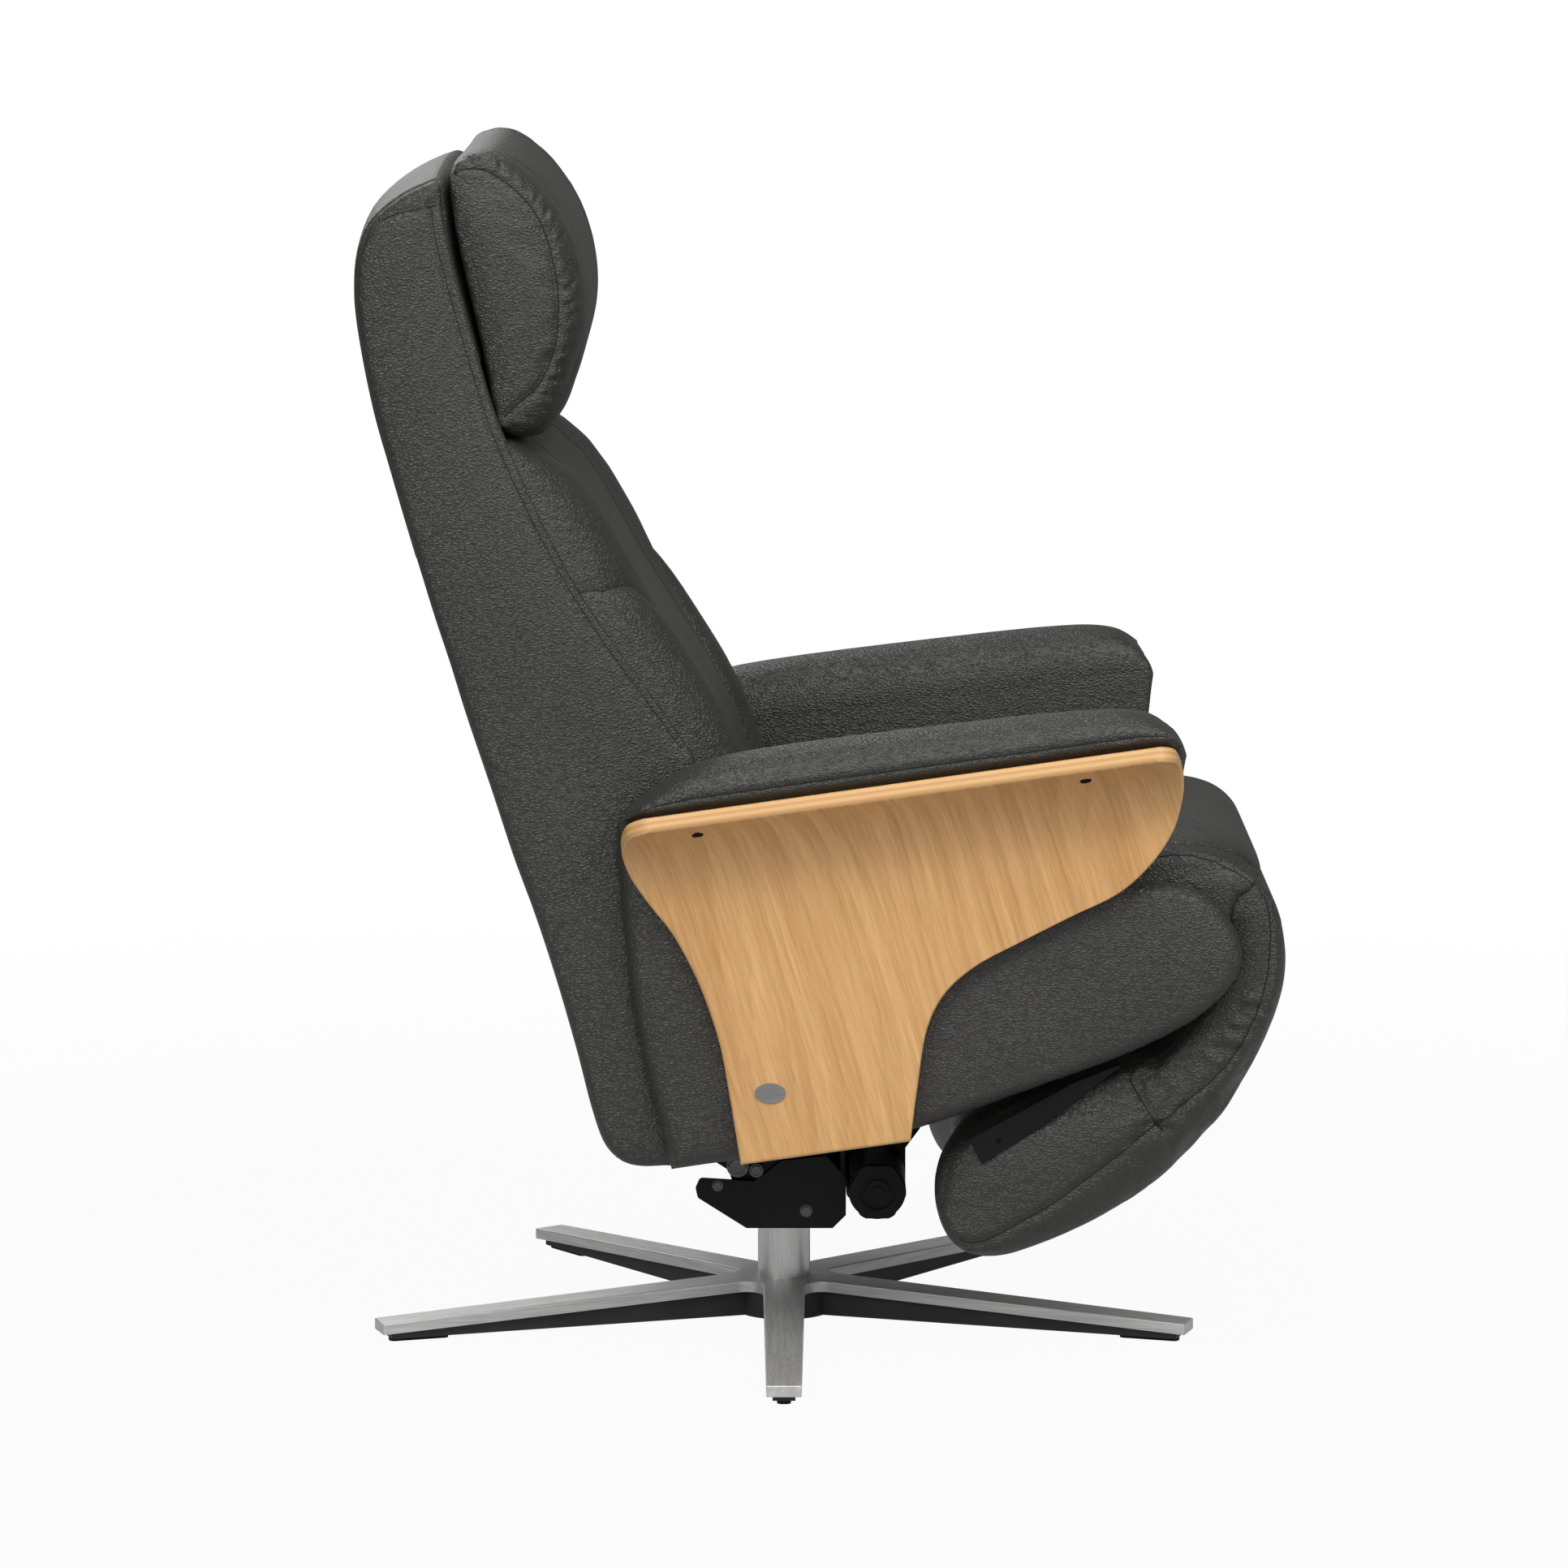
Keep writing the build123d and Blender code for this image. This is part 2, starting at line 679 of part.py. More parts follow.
with BuildPart() as arm_panel_right:
    with BuildSketch(arm_plane.offset(-arm_run / 2)):
        closed_face(
            (bend_y + inner_bend, panel_foot), bend_point(inner_bend, 0),
            (bend_point(inner_bend, arm_bend_angle / 2), bend_point(inner_bend, arm_bend_angle)),
            lip_point(inner_bend), lip_point(outer_bend), bend_point(outer_bend, arm_bend_angle),
            (bend_point(outer_bend, arm_bend_angle / 2), bend_point(outer_bend, 0)),
            (bend_y + outer_bend, panel_foot),
        )
    extrude(amount=arm_run)
    with BuildSketch(side_plane(0)):
        arm_outline()
    extrude(amount=2 * side_outer, mode=Mode.INTERSECT)
    for station in screw_stations:
        with BuildSketch(screw_plane(station)):
            Circle(screw_hole_radius)
        extrude(amount=ply, both=True, mode=Mode.SUBTRACT)
with BuildPart() as arm_panel_left:
    mirror(arm_panel_right.part, about=Plane.XZ)
write(arm_panel_right, "arm_panel_right")
write(arm_panel_left, "arm_panel_left")

with BuildPart() as arm_pad_screws:
    for station in screw_stations:
        with BuildSketch(screw_plane(station)):
            Circle(pad_screw_radius)
        extrude(amount=ply / 2 + running_gap / 2)
        with BuildSketch(screw_plane(station)):
            Circle(pad_screw_radius)
        extrude(amount=-ply / 5)
    mirror(about=Plane.XZ)
write(arm_pad_screws, "arm_pad_screws")

badge_place = (-12.0, 159.0)
with BuildPart() as badge_plate:
    with BuildSketch(side_plane(-ply_outer)):
        with Locations(badge_place):
            Ellipse(badge_length / 2, badge_height / 2)
    extrude(amount=badge_thickness)
write(badge_plate, "badge_plate")

# Arm pads: a crowned cushion on the flare, with a slab that covers the panel's inner face
pad_bend = inner_bend + running_gap
pad_inner = -side_inner
pad_crest_y = pad_inner - 45.0
pad_edge = lip_point(pad_bend)
pad_side = (pad_edge[0] - pad_bulge, pad_edge[1] + 12.0)
pad_front = 351.0
pad_rear = -147.0
switch_depth = 12.0


def switch_place(along):
    """Side-view point on the arm's inner face, at a distance along the row of switches."""
    station = switch_station + along
    height = arm_height + station * sin(slope) - switch_drop * cos(slope)
    return (station * cos(slope) + switch_drop * sin(slope), height)


def bezel_face(grow):
    """Fill the switch plate's outline, grown by a clearance."""
    with Locations(Location((*switch_place(0), 0), (0, 0, seat_slope))):
        RectangleRounded(bezel_length + 2 * grow, bezel_height + 2 * grow, bezel_height / 3)


def arm_pad_solid():
    """The padded rest of the right arm."""
    with BuildPart() as pad:
        with BuildSketch(arm_plane.offset(-arm_run / 2)):
            closed_face(
                (pad_inner, panel_foot / 2), (pad_inner, 0),
                ((pad_inner - 11, pad_crest * 0.71), (pad_crest_y, pad_crest)),
                ((pad_crest_y - 40, pad_crest * 0.84), pad_side), pad_edge,
                bend_point(pad_bend, arm_bend_angle),
                (bend_point(pad_bend, arm_bend_angle / 2), bend_point(pad_bend, 0)),
                (bend_y + pad_bend, panel_foot / 2),
            )
        extrude(amount=arm_run)
        with BuildSketch(side_plane(0)):
            rounded_face(
                (pad_rear, side_top_rear[1] + 2, 3), (pad_rear + 4, 410, 10), (-78, 464, 50),
                (pad_front, 522, 46), (pad_front, 428, 60), (pad_front - 29, side_top_front[1] + 17, 24),
                (side_top_front[0] - 14, side_top_front[1] + 4, 20),
            )
        extrude(amount=2 * side_outer, mode=Mode.INTERSECT)
    return pad


plain_pad = arm_pad_solid()
with BuildPart() as arm_pad_left:
    mirror(plain_pad.part, about=Plane.XZ)
with BuildPart() as arm_pad_right:
    add(plain_pad.part)
    with BuildSketch(side_plane(pad_inner)):
        bezel_face(running_gap)
    extrude(amount=switch_depth, mode=Mode.SUBTRACT)
write(arm_pad_right, "arm_pad_right")
write(arm_pad_left, "arm_pad_left")

# Switch plate with four sprung buttons
button_bore = button_radius + button_clearance
button_depth = switch_depth - plate / 2
button_names = ("button_back_recline", "button_back_raise", "button_leg_raise", "button_leg_lower")
button_places = [switch_place((i - 1.5) * button_pitch) for i in range(len(button_names))]
with BuildPart() as switch_plate:
    with BuildSketch(side_plane(pad_inner)):
        bezel_face(0)
    extrude(amount=switch_depth)
    with BuildSketch(side_plane(pad_inner)):
        with Locations(*button_places):
            Circle(button_bore)
    extrude(amount=button_depth, mode=Mode.SUBTRACT)
write(switch_plate, "switch_plate")

for name, place in zip(button_names, button_places):
    with BuildPart() as button:
        with BuildSketch(side_plane(pad_inner + button_proud)):
            with Locations(place):
                Circle(button_radius)
        extrude(amount=button_proud + button_depth - button_travel - running_gap)
    write(button, name)

# Drives: each has a housing with a motor and a tube, hung from a cross tube, and a rod that slides in it
lever_point = polar_point(leg_pivot, lever_reach, lever_angle)
drive_heading = lever_angle + leg_swing / 2 + 90
leg_drive_length = 304.0
leg_drive_tail = polar_point(lever_point, -leg_drive_length, drive_heading)
leg_tube_end = 190.0
leg_rod_start = 40.0
back_drive_length = hypot(back_drive_tail[0] - back_lever[0], back_drive_tail[1] - back_lever[1])
back_heading = degrees(atan2(back_lever[1] - back_drive_tail[1], back_lever[0] - back_drive_tail[0]))
back_tube_end = 160.0
back_rod_start = 100.0
drive_motor_radius = 18.0
drive_motor_length = 80.0


def drive_plane(tail, heading, y, along):
    """Plane square to a drive's axis, at a distance along it from the tail."""
    centre = polar_point(tail, along, heading)
    return Plane((centre[0], y, chassis_z + centre[1]), x_dir=(0, 1, 0),
                 z_dir=(cos(radians(heading)), 0, sin(radians(heading))))


def drive_housing_solid(tail, heading, y, hanger_station):
    """Gear housing of a drive, with the hanger that bolts it under a cross tube."""
    half = drive_housing / 2
    with BuildPart() as housing:
        with BuildSketch(drive_plane(tail, heading, y, -half)):
            RectangleRounded(drive_housing, drive_housing, drive_housing / 6)
        extrude(amount=drive_housing)
        with BuildSketch(side_plane(y + plate)):
            closed_face(tail, to_chair(hanger_station - cross_tube / 2, -cross_tube),
                        to_chair(hanger_station + cross_tube / 2, -cross_tube), shift(tail, half, 0))
        extrude(amount=2 * plate)
        with BuildSketch(drive_plane(tail, heading, y, half)):
            Circle(drive_tube_radius + running_gap)
        extrude(amount=drive_housing, mode=Mode.SUBTRACT)
        with BuildSketch(drive_plane(tail, heading, y, half)):
            Circle(drive_rod_radius + bore_clearance)
        extrude(amount=-drive_housing / 2, mode=Mode.SUBTRACT)
    return housing


def drive_tube_solid(tail, heading, y, end):
    """Guide tube of a drive, from its housing to the given distance along its axis."""
    with BuildPart() as tube:
        with BuildSketch(drive_plane(tail, heading, y, drive_housing / 2)):
            Circle(drive_tube_radius)
            Circle(drive_rod_radius + bore_clearance, mode=Mode.SUBTRACT)
        extrude(amount=end - drive_housing / 2)
    return tube


def drive_rod_solid(tail, heading, y, start, end):
    """Sliding rod of a drive, with a wider shoe at its far end."""
    shoe = 12.0
    with BuildPart() as rod:
        with BuildSketch(drive_plane(tail, heading, y, start)):
            Circle(drive_rod_radius)
        extrude(amount=end - start)
        with BuildSketch(drive_plane(tail, heading, y, end - shoe)):
            Circle(drive_rod_radius + 3)
        extrude(amount=shoe)
    return rod


leg_drive_housing = drive_housing_solid(leg_drive_tail, drive_heading, leg_drive_y, cross_stations[1])
leg_drive_tube = drive_tube_solid(leg_drive_tail, drive_heading, leg_drive_y, leg_tube_end)
leg_drive_rod = drive_rod_solid(leg_drive_tail, drive_heading, leg_drive_y, leg_rod_start,
                                leg_drive_length - lever_tube - rod_gap)
back_drive_housing = drive_housing_solid(back_drive_tail, back_heading, back_drive_y, cross_stations[1])
back_drive_tube = drive_tube_solid(back_drive_tail, back_heading, back_drive_y, back_tube_end)
back_drive_rod = drive_rod_solid(back_drive_tail, back_heading, back_drive_y, back_rod_start,
                                 back_drive_length - frame_tube - rod_gap)
write(leg_drive_housing, "leg_drive_housing")
write(leg_drive_tube, "leg_drive_tube")
write(leg_drive_rod, "leg_drive_rod")
write(back_drive_housing, "back_drive_housing")
write(back_drive_tube, "back_drive_tube")
write(back_drive_rod, "back_drive_rod")

with BuildPart() as leg_drive_motor:
    motor_y = leg_drive_y + drive_housing / 2 + drive_motor_radius
    with BuildSketch(drive_plane(leg_drive_tail, drive_heading, motor_y, 0)):
        Circle(drive_motor_radius)
    extrude(amount=drive_motor_length)
    with BuildSketch(drive_plane(leg_drive_tail, drive_heading, motor_y, 0)):
        with Locations((-drive_motor_radius, 0)):
            Rectangle(2 * drive_motor_radius, drive_motor_radius)
    extrude(amount=drive_housing / 2)
    with BuildSketch(side_plane(leg_drive_y + drive_housing / 2)):
        with Locations(leg_drive_tail):
            Circle(2 * drive_housing)
    extrude(amount=drive_housing, mode=Mode.SUBTRACT)
write(leg_drive_motor, "leg_drive_motor")

with BuildPart() as back_drive_motor:
    with BuildSketch(side_plane(back_drive_y - drive_housing / 2)):
        with Locations(back_drive_tail):
            Circle(drive_motor_radius)
    extrude(amount=drive_motor_length)
write(back_drive_motor, "back_drive_motor")

# Trays under the cross tubes for the control unit and the battery
tray_inner = 112.0
tray_outer = 196.0
tray_start = cross_stations[1] - cross_tube / 2
tray_end = cross_stations[2] + cross_tube / 2
pack_length = 130.0
pack_height = 15.0
with BuildPart() as electronics_trays:
    with BuildSketch(seat_plane.offset(-cross_tube)):
        with Locations(((tray_start + tray_end) / 2, (tray_inner + tray_outer) / 2)):
            RectangleRounded(tray_end - tray_start, tray_outer - tray_inner, 6)
    extrude(amount=-plate / 2)
    mirror(about=Plane.XZ)
write(electronics_trays, "electronics_trays")

for name, side in (("control_unit", 1), ("battery_pack", -1)):
    with BuildPart() as pack:
        with BuildSketch(seat_plane.offset(-cross_tube)):
            with Locations(((tray_start + tray_end) / 2, side * (tray_inner + tray_outer) / 2)):
                RectangleRounded(pack_length, tray_outer - tray_inner - 2 * plate, 5)
        extrude(amount=pack_height)
    write(pack, name)

# Back: two side panels, covers behind, cushions in front, all on a bent tube frame
rear_foot = (-126.0, 83.0)
rear_heel = (-168.0, 128.0)
rear_waist = (-265.0, 444.0)
rear_notch = (-319.0, 616.0)
rear_shoulder = (-364.0, 786.0)
rear_crown = (-361.0, 913.0)
back_top = (-297.0, 956.0)
front_top = (-297.0, 929.0)
front_neck = (-253.0, 751.0)
front_waist = (-178.0, 593.0)
front_hip = (-76.0, 441.0)
front_toe = (-84.0, 100.0)
side_gore = seat_half - back_side_thickness

with BuildPart() as back_side_right:
    with BuildSketch(side_plane(-side_gore)):
        closed_face(
            rear_foot, ((-152, 95), rear_heel), ((-207, 271), rear_waist), ((-293, 530), rear_notch),
            ((-343, 701), rear_shoulder), ((-374, 857), rear_crown), ((-338, 938), back_top), front_top,
            ((-281, 850), front_neck), ((-213, 659), front_waist), front_hip, ((-94, 290), front_toe),
        )
    extrude(amount=back_side_thickness)
with BuildPart() as back_side_left:
    mirror(back_side_right.part, about=Plane.XZ)
write(back_side_right, "back_side_right")
write(back_side_left, "back_side_left")

cover_half = side_gore - running_gap


def lower_cover_section(bulge):
    """Side outline of the lower rear cover, pushed out by bulge."""
    inner = cover_thickness
    top = shift(rear_notch, 0, -2)
    closed_face(
        shift(rear_foot, -4, 6), ((-152 - bulge, 97), shift(rear_heel, -bulge, 0)),
        ((-207 - bulge, 271), shift(rear_waist, -bulge, 0)), ((-292 - bulge, 530), shift(top, -bulge, 0)),
        shift(top, inner, 0), ((-292 + inner, 530), shift(rear_waist, inner, 0)),
        ((-207 + inner, 271), shift(rear_heel, inner, 8)), shift(rear_foot, -4, 6 + inner),
    )


def upper_cover_section(bulge):
    """Side outline of the upper rear cover, which folds over the top and down behind the headrest."""
    inner = cover_thickness
    foot = shift(rear_notch, 0, 2)
    lip = (-262.0, 786.0)
    closed_face(
        shift(foot, -bulge, 0), ((-343 - bulge, 701), shift(rear_shoulder, -bulge, 0)),
        ((-374 - bulge, 857), shift(rear_crown, -bulge, bulge / 2)),
        ((-338 - bulge / 2, 938 + bulge / 2), shift(back_top, 0, bulge / 2)),
        front_top, ((-282, 858), lip), shift(lip, -inner, 0),
        ((-303, 858), shift(front_top, -inner, -inner / 2)),
        ((-332, 917), shift(rear_crown, inner, -inner)), ((-352, 846), shift(rear_shoulder, inner, 0)),
        ((-343 + inner, 701), shift(foot, inner, 0)),
    )


with BuildPart() as rear_cover_lower:
    for y, bulge in ((-cover_half, 0), (0, cover_crown), (cover_half, 0)):
        with BuildSketch(side_plane(y)):
            lower_cover_section(bulge)
    loft()
write(rear_cover_lower, "rear_cover_lower")

with BuildPart() as rear_cover_upper:
    for y, bulge in ((-cover_half, 0), (0, cover_crown), (cover_half, 0)):
        with BuildSketch(side_plane(y)):
            upper_cover_section(bulge)
    loft()
write(rear_cover_upper, "rear_cover_upper")


def upper_cushion_section(depth):
    """Side outline of the upper back cushion, with its face the given depth in front of the panels."""
    top = shift(front_neck, 18, -38)
    closed_face(
        shift(front_waist, soft_gap, 4), shift(front_waist, soft_gap + depth, 4),
        ((-213 + depth, 661), shift(top, -1 + 0.72 * depth, -8)),
        (shift(top, 0.36 * depth - 2, 1), shift(top, soft_gap, 0)),
        ((-213 + soft_gap, 659), shift(front_waist, soft_gap, 4)),
    )


def lumbar_section(depth):
    """Side outline of the lumbar cushion, with its face the given depth in front of the panels."""
    ahead = depth - cushion_depth
    closed_face(
        shift(front_waist, soft_gap + 2, 0), ((-146 + ahead / 2, 596), (-118 + ahead, 584)),
        ((-80 + ahead, 531), (-38 + ahead, 448)), ((-18 + ahead, 395), (2 + ahead / 2, 326)),
        (-20, 318), (-62, 318), shift(front_hip, soft_gap, 0),
    )


bolster = 0.78
cushion_half = seat_half - 1.0
back_stations = ((-1.0, 0.3), (-0.93, 0.72), (-bolster, 1.0), (-0.42, 0.86), (0.0, 0.8))
with BuildPart() as upper_back_cushion:
    for share, fill in back_stations + tuple((-a, b) for a, b in reversed(back_stations[:-1])):
        with BuildSketch(side_plane(share * cushion_half)):
            upper_cushion_section(fill * cushion_depth)
    loft()
write(upper_back_cushion, "upper_back_cushion")

with BuildPart() as lumbar_cushion:
    for share, fill in back_stations + tuple((-a, b) for a, b in reversed(back_stations[:-1])):
        with BuildSketch(side_plane(share * cushion_half)):
            lumbar_section((0.3 + 0.7 * fill) * cushion_depth)
    loft()
write(lumbar_cushion, "lumbar_cushion")

frame_knee = (-120.0, 458.0)
frame_neck = (-252.0, 650.0)
frame_head = (-330.0, 884.0)
hinge_bar = (-268.0, 722.0)
with BuildPart() as back_frame:
    with BuildLine() as frame_path:
        FilletPolyline(
            (back_lever[0], -frame_half, chassis_z + back_lever[1]),
            (back_pivot[0], -frame_half, chassis_z + back_pivot[1]),
            (frame_knee[0], -frame_half, chassis_z + frame_knee[1]),
            (frame_neck[0], -frame_half, chassis_z + frame_neck[1]),
            (frame_head[0], -frame_half, chassis_z + frame_head[1]),
            (frame_head[0], 0, chassis_z + frame_head[1]),
            radius=30,
        )
    with BuildSketch(Plane(frame_path.line @ 0, z_dir=frame_path.line % 0)):
        Circle(frame_tube)
    sweep()
    with BuildSketch(side_plane(-frame_half + frame_tube)):
        with Locations(back_pivot):
            Circle(hinge_boss_radius)
    extrude(amount=rail_inner - hinge_plate - 1.0 - frame_half + frame_tube)
    with BuildSketch(side_plane(0)):
        with Locations(back_lever, hinge_bar):
            Circle(frame_tube)
    extrude(amount=side_gore)
    with BuildSketch(side_plane(-frame_half)):
        with Locations(frame_head):
            Circle(frame_tube)
    extrude(amount=side_gore - frame_half)
    with BuildSketch(side_plane(-frame_half + 3 * frame_tube)):
        with Locations(back_pivot):
            Circle(hinge_pin_radius + bore_clearance)
    extrude(amount=6 * frame_tube, mode=Mode.SUBTRACT)
    mirror(about=Plane.XZ)
write(back_frame, "back_frame")


def between(first, second, share):
    """The point at a share of the way from the first point to the second."""
    return (first[0] + (second[0] - first[0]) * share, first[1] + (second[1] - first[1]) * share)


with BuildPart() as back_webbing:
    for first, second, share in ((back_pivot, frame_knee, 0.5), (back_pivot, frame_knee, 0.85),
                                 (frame_knee, frame_neck, 0.4), (frame_knee, frame_neck, 0.75)):
        heading = degrees(atan2(second[1] - first[1], second[0] - first[0]))
        centre = polar_point(between(first, second, share), frame_tube + strap_thickness / 2, heading - 90)
        with BuildSketch(side_plane(frame_half)):
            with Locations(Location((*centre, 0), (0, 0, heading))):
                Rectangle(strap_width, strap_thickness)
        extrude(amount=2 * frame_half)
write(back_webbing, "back_webbing")

# Headrest: a thick pillow on a steel plate that tilts on a bar of the back frame
ear_spread = 62.0
knuckle_length = 40.0
plate_radius = 9.0
with BuildPart() as headrest_bracket:
    with BuildSketch(side_plane(-ear_spread)):
        link_face(hinge_bar, head_pivot, frame_tube + plate, plate_radius)
        with Locations(hinge_bar):
            Circle(frame_tube, mode=Mode.SUBTRACT)
    extrude(amount=plate)
    mirror(about=Plane.XZ)
    with BuildSketch(side_plane(ear_spread + plate + knuckle_length)):
        with Locations(head_pivot):
            Circle(pin_radius)
    extrude(amount=2 * (ear_spread + plate + knuckle_length))
write(headrest_bracket, "headrest_bracket")

head_foot = (-247.0, 770.0)
head_tip = (-286.0, 940.0)
head_plate_half = 180.0
with BuildPart() as headrest_plate:
    with BuildSketch(side_plane(head_plate_half)):
        heading = degrees(atan2(head_tip[1] - head_foot[1], head_tip[0] - head_foot[0]))
        length = hypot(head_tip[0] - head_foot[0], head_tip[1] - head_foot[1])
        with Locations(Location((*between(head_foot, head_tip, 0.5), 0), (0, 0, heading))):
            Rectangle(length, plate)
    extrude(amount=2 * head_plate_half)
    with BuildSketch(side_plane(-ear_spread - plate - 1.0)):
        link_face(head_pivot, head_foot, plate_radius, plate / 2)
    extrude(amount=knuckle_length - 1.0)
    with BuildSketch(side_plane(ear_spread + plate + knuckle_length)):
        link_face(head_pivot, head_foot, plate_radius, plate / 2)
    extrude(amount=knuckle_length - 1.0)
    with BuildSketch(side_plane(head_plate_half)):
        with Locations(head_pivot):
            Circle(pin_radius + bore_clearance)
    extrude(amount=2 * head_plate_half, mode=Mode.SUBTRACT)
write(headrest_plate, "headrest_plate")

head_half = 238.0
head_crown = (-251.0, 977.0)
head_front = (-178.0, 828.0)


def headrest_section(draw):
    """Side outline of the headrest pillow, drawn in by the given amount at its rim."""
    rear = plate / 2 + soft_gap / 2
    closed_face(
        (-239 + rear - draw * 0.1, 742 + draw * 0.5),
        ((-226, 734 + draw * 0.7), (-206 - draw * 0.6, 744 + draw)),
        ((-186 - draw, 780 + draw * 0.4), shift(head_front, -draw, 0)),
        ((-184 - draw, 890 - draw * 0.3), (-207 - draw, 938 - draw * 0.6)),
        ((-226 - draw * 0.6, 964 - draw), shift(head_crown, 0, -draw)),
        ((-272, 975 - draw), (-286 + rear, 952 - draw)),
        (-286 + rear, 940 - draw), (-247 + rear, 770),
    )


with BuildPart() as headrest_cushion:
    head_stations = ((-1.0, 16), (-0.93, 5), (-0.55, 0), (0.0, -3))
    for share, draw in head_stations + tuple((-a, b) for a, b in reversed(head_stations[:-1])):
        with BuildSketch(side_plane(share * head_half)):
            headrest_section(draw)
    loft()
write(headrest_cushion, "headrest_cushion")

# Leg rest: an upper pad that turns on a roll under the seat's nose, and a thicker foot pad folded under it
fold_heading = (-0.473, 0.881)
fold_gap = 0.4
fold_round = 4.0
calf_fold = (fold_pivot[0] + fold_gap * fold_heading[1], fold_pivot[1] - fold_gap * fold_heading[0])
foot_fold = (fold_pivot[0] - fold_gap * fold_heading[1], fold_pivot[1] + fold_gap * fold_heading[0])


def along_fold(start, reach):
    """Point on the fold's plane at a reach from its outer edge."""
    return (start[0] + fold_heading[0] * reach, start[1] + fold_heading[1] * reach)


def calf_section(draw):
    """Side outline of the upper pad, drawn in by the given amount."""
    roll = roll_radius - draw * 0.5
    bevel = roll * sin(radians(45))
    closed_face(
        shift(leg_pivot, roll, 0), ((446 - draw, 268), (430 - draw, 211)),
        ((402 - draw, 153), along_fold(calf_fold, draw + fold_round)),
        along_fold(calf_fold, calf_thickness + 2),
        ((366, 175), polar_point(lever_point, lever_tube + soft_gap / 2, lever_contact)),
        ((402, 272), shift(leg_pivot, -roll, 0)),
        (shift(leg_pivot, -bevel, bevel), shift(leg_pivot, 0, roll)),
        (shift(leg_pivot, bevel, bevel), shift(leg_pivot, roll, 0)),
    )


pad_stations = ((-1.0, 14), (-0.94, 4), (-0.5, 0), (0.0, -2))
pad_half = seat_half
with BuildPart() as calf_cushion:
    for share, draw in pad_stations + tuple((-a, b) for a, b in reversed(pad_stations[:-1])):
        with BuildSketch(side_plane(share * pad_half)):
            calf_section(draw)
    loft()
    with BuildSketch(side_plane(slot_half - rail_inner + hinge_plate)):
        with Locations(leg_pivot):
            Circle(roll_radius + slot_margin)
        link_face(leg_pivot, lever_point, hinge_boss_radius, hinge_boss_radius)
    extrude(amount=2 * slot_half, mode=Mode.SUBTRACT)
    with BuildSketch(side_plane(rail_inner - hinge_plate + slot_half)):
        with Locations(leg_pivot):
            Circle(roll_radius + slot_margin)
        link_face(leg_pivot, lever_point, hinge_boss_radius, hinge_boss_radius)
    extrude(amount=2 * slot_half, mode=Mode.SUBTRACT)
write(calf_cushion, "calf_cushion")

with BuildPart() as calf_frame:
    with BuildSketch(side_plane(-leg_arm_inner)):
        link_face(leg_pivot, lever_point, hinge_boss_radius * 0.8, hinge_boss_radius * 0.8)
        with Locations(leg_pivot):
            Circle(hinge_pin_radius + bore_clearance, mode=Mode.SUBTRACT)
    extrude(amount=hinge_plate)
    mirror(about=Plane.XZ)
    with BuildSketch(side_plane(leg_arm_outer)):
        with Locations(lever_point):
            Circle(lever_tube)
    extrude(amount=2 * leg_arm_outer)
write(calf_frame, "calf_frame")


def foot_section(draw):
    """Side outline of the foot pad, drawn in by the given amount."""
    closed_face(
        along_fold(foot_fold, draw + fold_round), ((285 - draw * 0.4, 41 + draw), (210, 6 + draw)),
        ((163 + draw * 0.7, 19 + draw * 0.7), (138 + draw, 66)),
        ((136 + draw, 99), (156 + draw * 0.6, 124 - draw * 0.7)),
        ((232, 150 - draw * 0.6), along_fold(foot_fold, 92 - draw * 0.3)),
    )


with BuildPart() as foot_cushion:
    for share, draw in pad_stations + tuple((-a, b) for a, b in reversed(pad_stations[:-1])):
        with BuildSketch(side_plane(share * pad_half)):
            foot_section(draw)
    loft()
write(foot_cushion, "foot_cushion")

bar_heel = (170.0, 93.0)
bar_toe = (296.0, 170.0)
with BuildPart() as foot_bars:
    with BuildSketch(side_plane(-pad_half)):
        link_face(bar_heel, bar_toe, bar_depth / 2, bar_depth / 2)
        with Locations(shift(bar_heel, bar_depth / 3, bar_depth / 5)):
            Circle(bar_depth / 8, mode=Mode.SUBTRACT)
    extrude(amount=bar_thickness)
    mirror(about=Plane.XZ)
write(foot_bars, "foot_bars")
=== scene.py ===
import functools
import json
import logging
import math
from dataclasses import dataclass
from enum import Enum
from typing import Callable, Dict, List, Optional, Sequence, Tuple

import bmesh
import bpy
import numpy as np
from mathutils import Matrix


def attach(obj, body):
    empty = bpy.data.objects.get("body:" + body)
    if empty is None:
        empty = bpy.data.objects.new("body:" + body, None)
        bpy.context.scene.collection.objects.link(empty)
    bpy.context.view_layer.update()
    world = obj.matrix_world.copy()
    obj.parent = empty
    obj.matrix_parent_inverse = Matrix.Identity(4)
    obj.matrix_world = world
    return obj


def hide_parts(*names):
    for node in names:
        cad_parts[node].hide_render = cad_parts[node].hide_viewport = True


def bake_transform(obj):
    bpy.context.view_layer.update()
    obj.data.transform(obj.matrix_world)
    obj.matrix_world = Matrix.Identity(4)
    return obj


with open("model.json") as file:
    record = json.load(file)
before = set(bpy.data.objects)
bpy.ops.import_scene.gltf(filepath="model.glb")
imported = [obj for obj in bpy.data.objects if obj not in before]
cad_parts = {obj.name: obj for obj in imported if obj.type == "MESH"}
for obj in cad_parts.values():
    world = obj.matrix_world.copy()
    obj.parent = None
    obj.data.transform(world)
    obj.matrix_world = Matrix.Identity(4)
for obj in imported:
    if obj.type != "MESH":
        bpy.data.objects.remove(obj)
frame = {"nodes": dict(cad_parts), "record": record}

# Looks of a padded power recliner on a swivelling star base.
# Shapes are worked out in millimetres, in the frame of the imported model, and stored in metres.

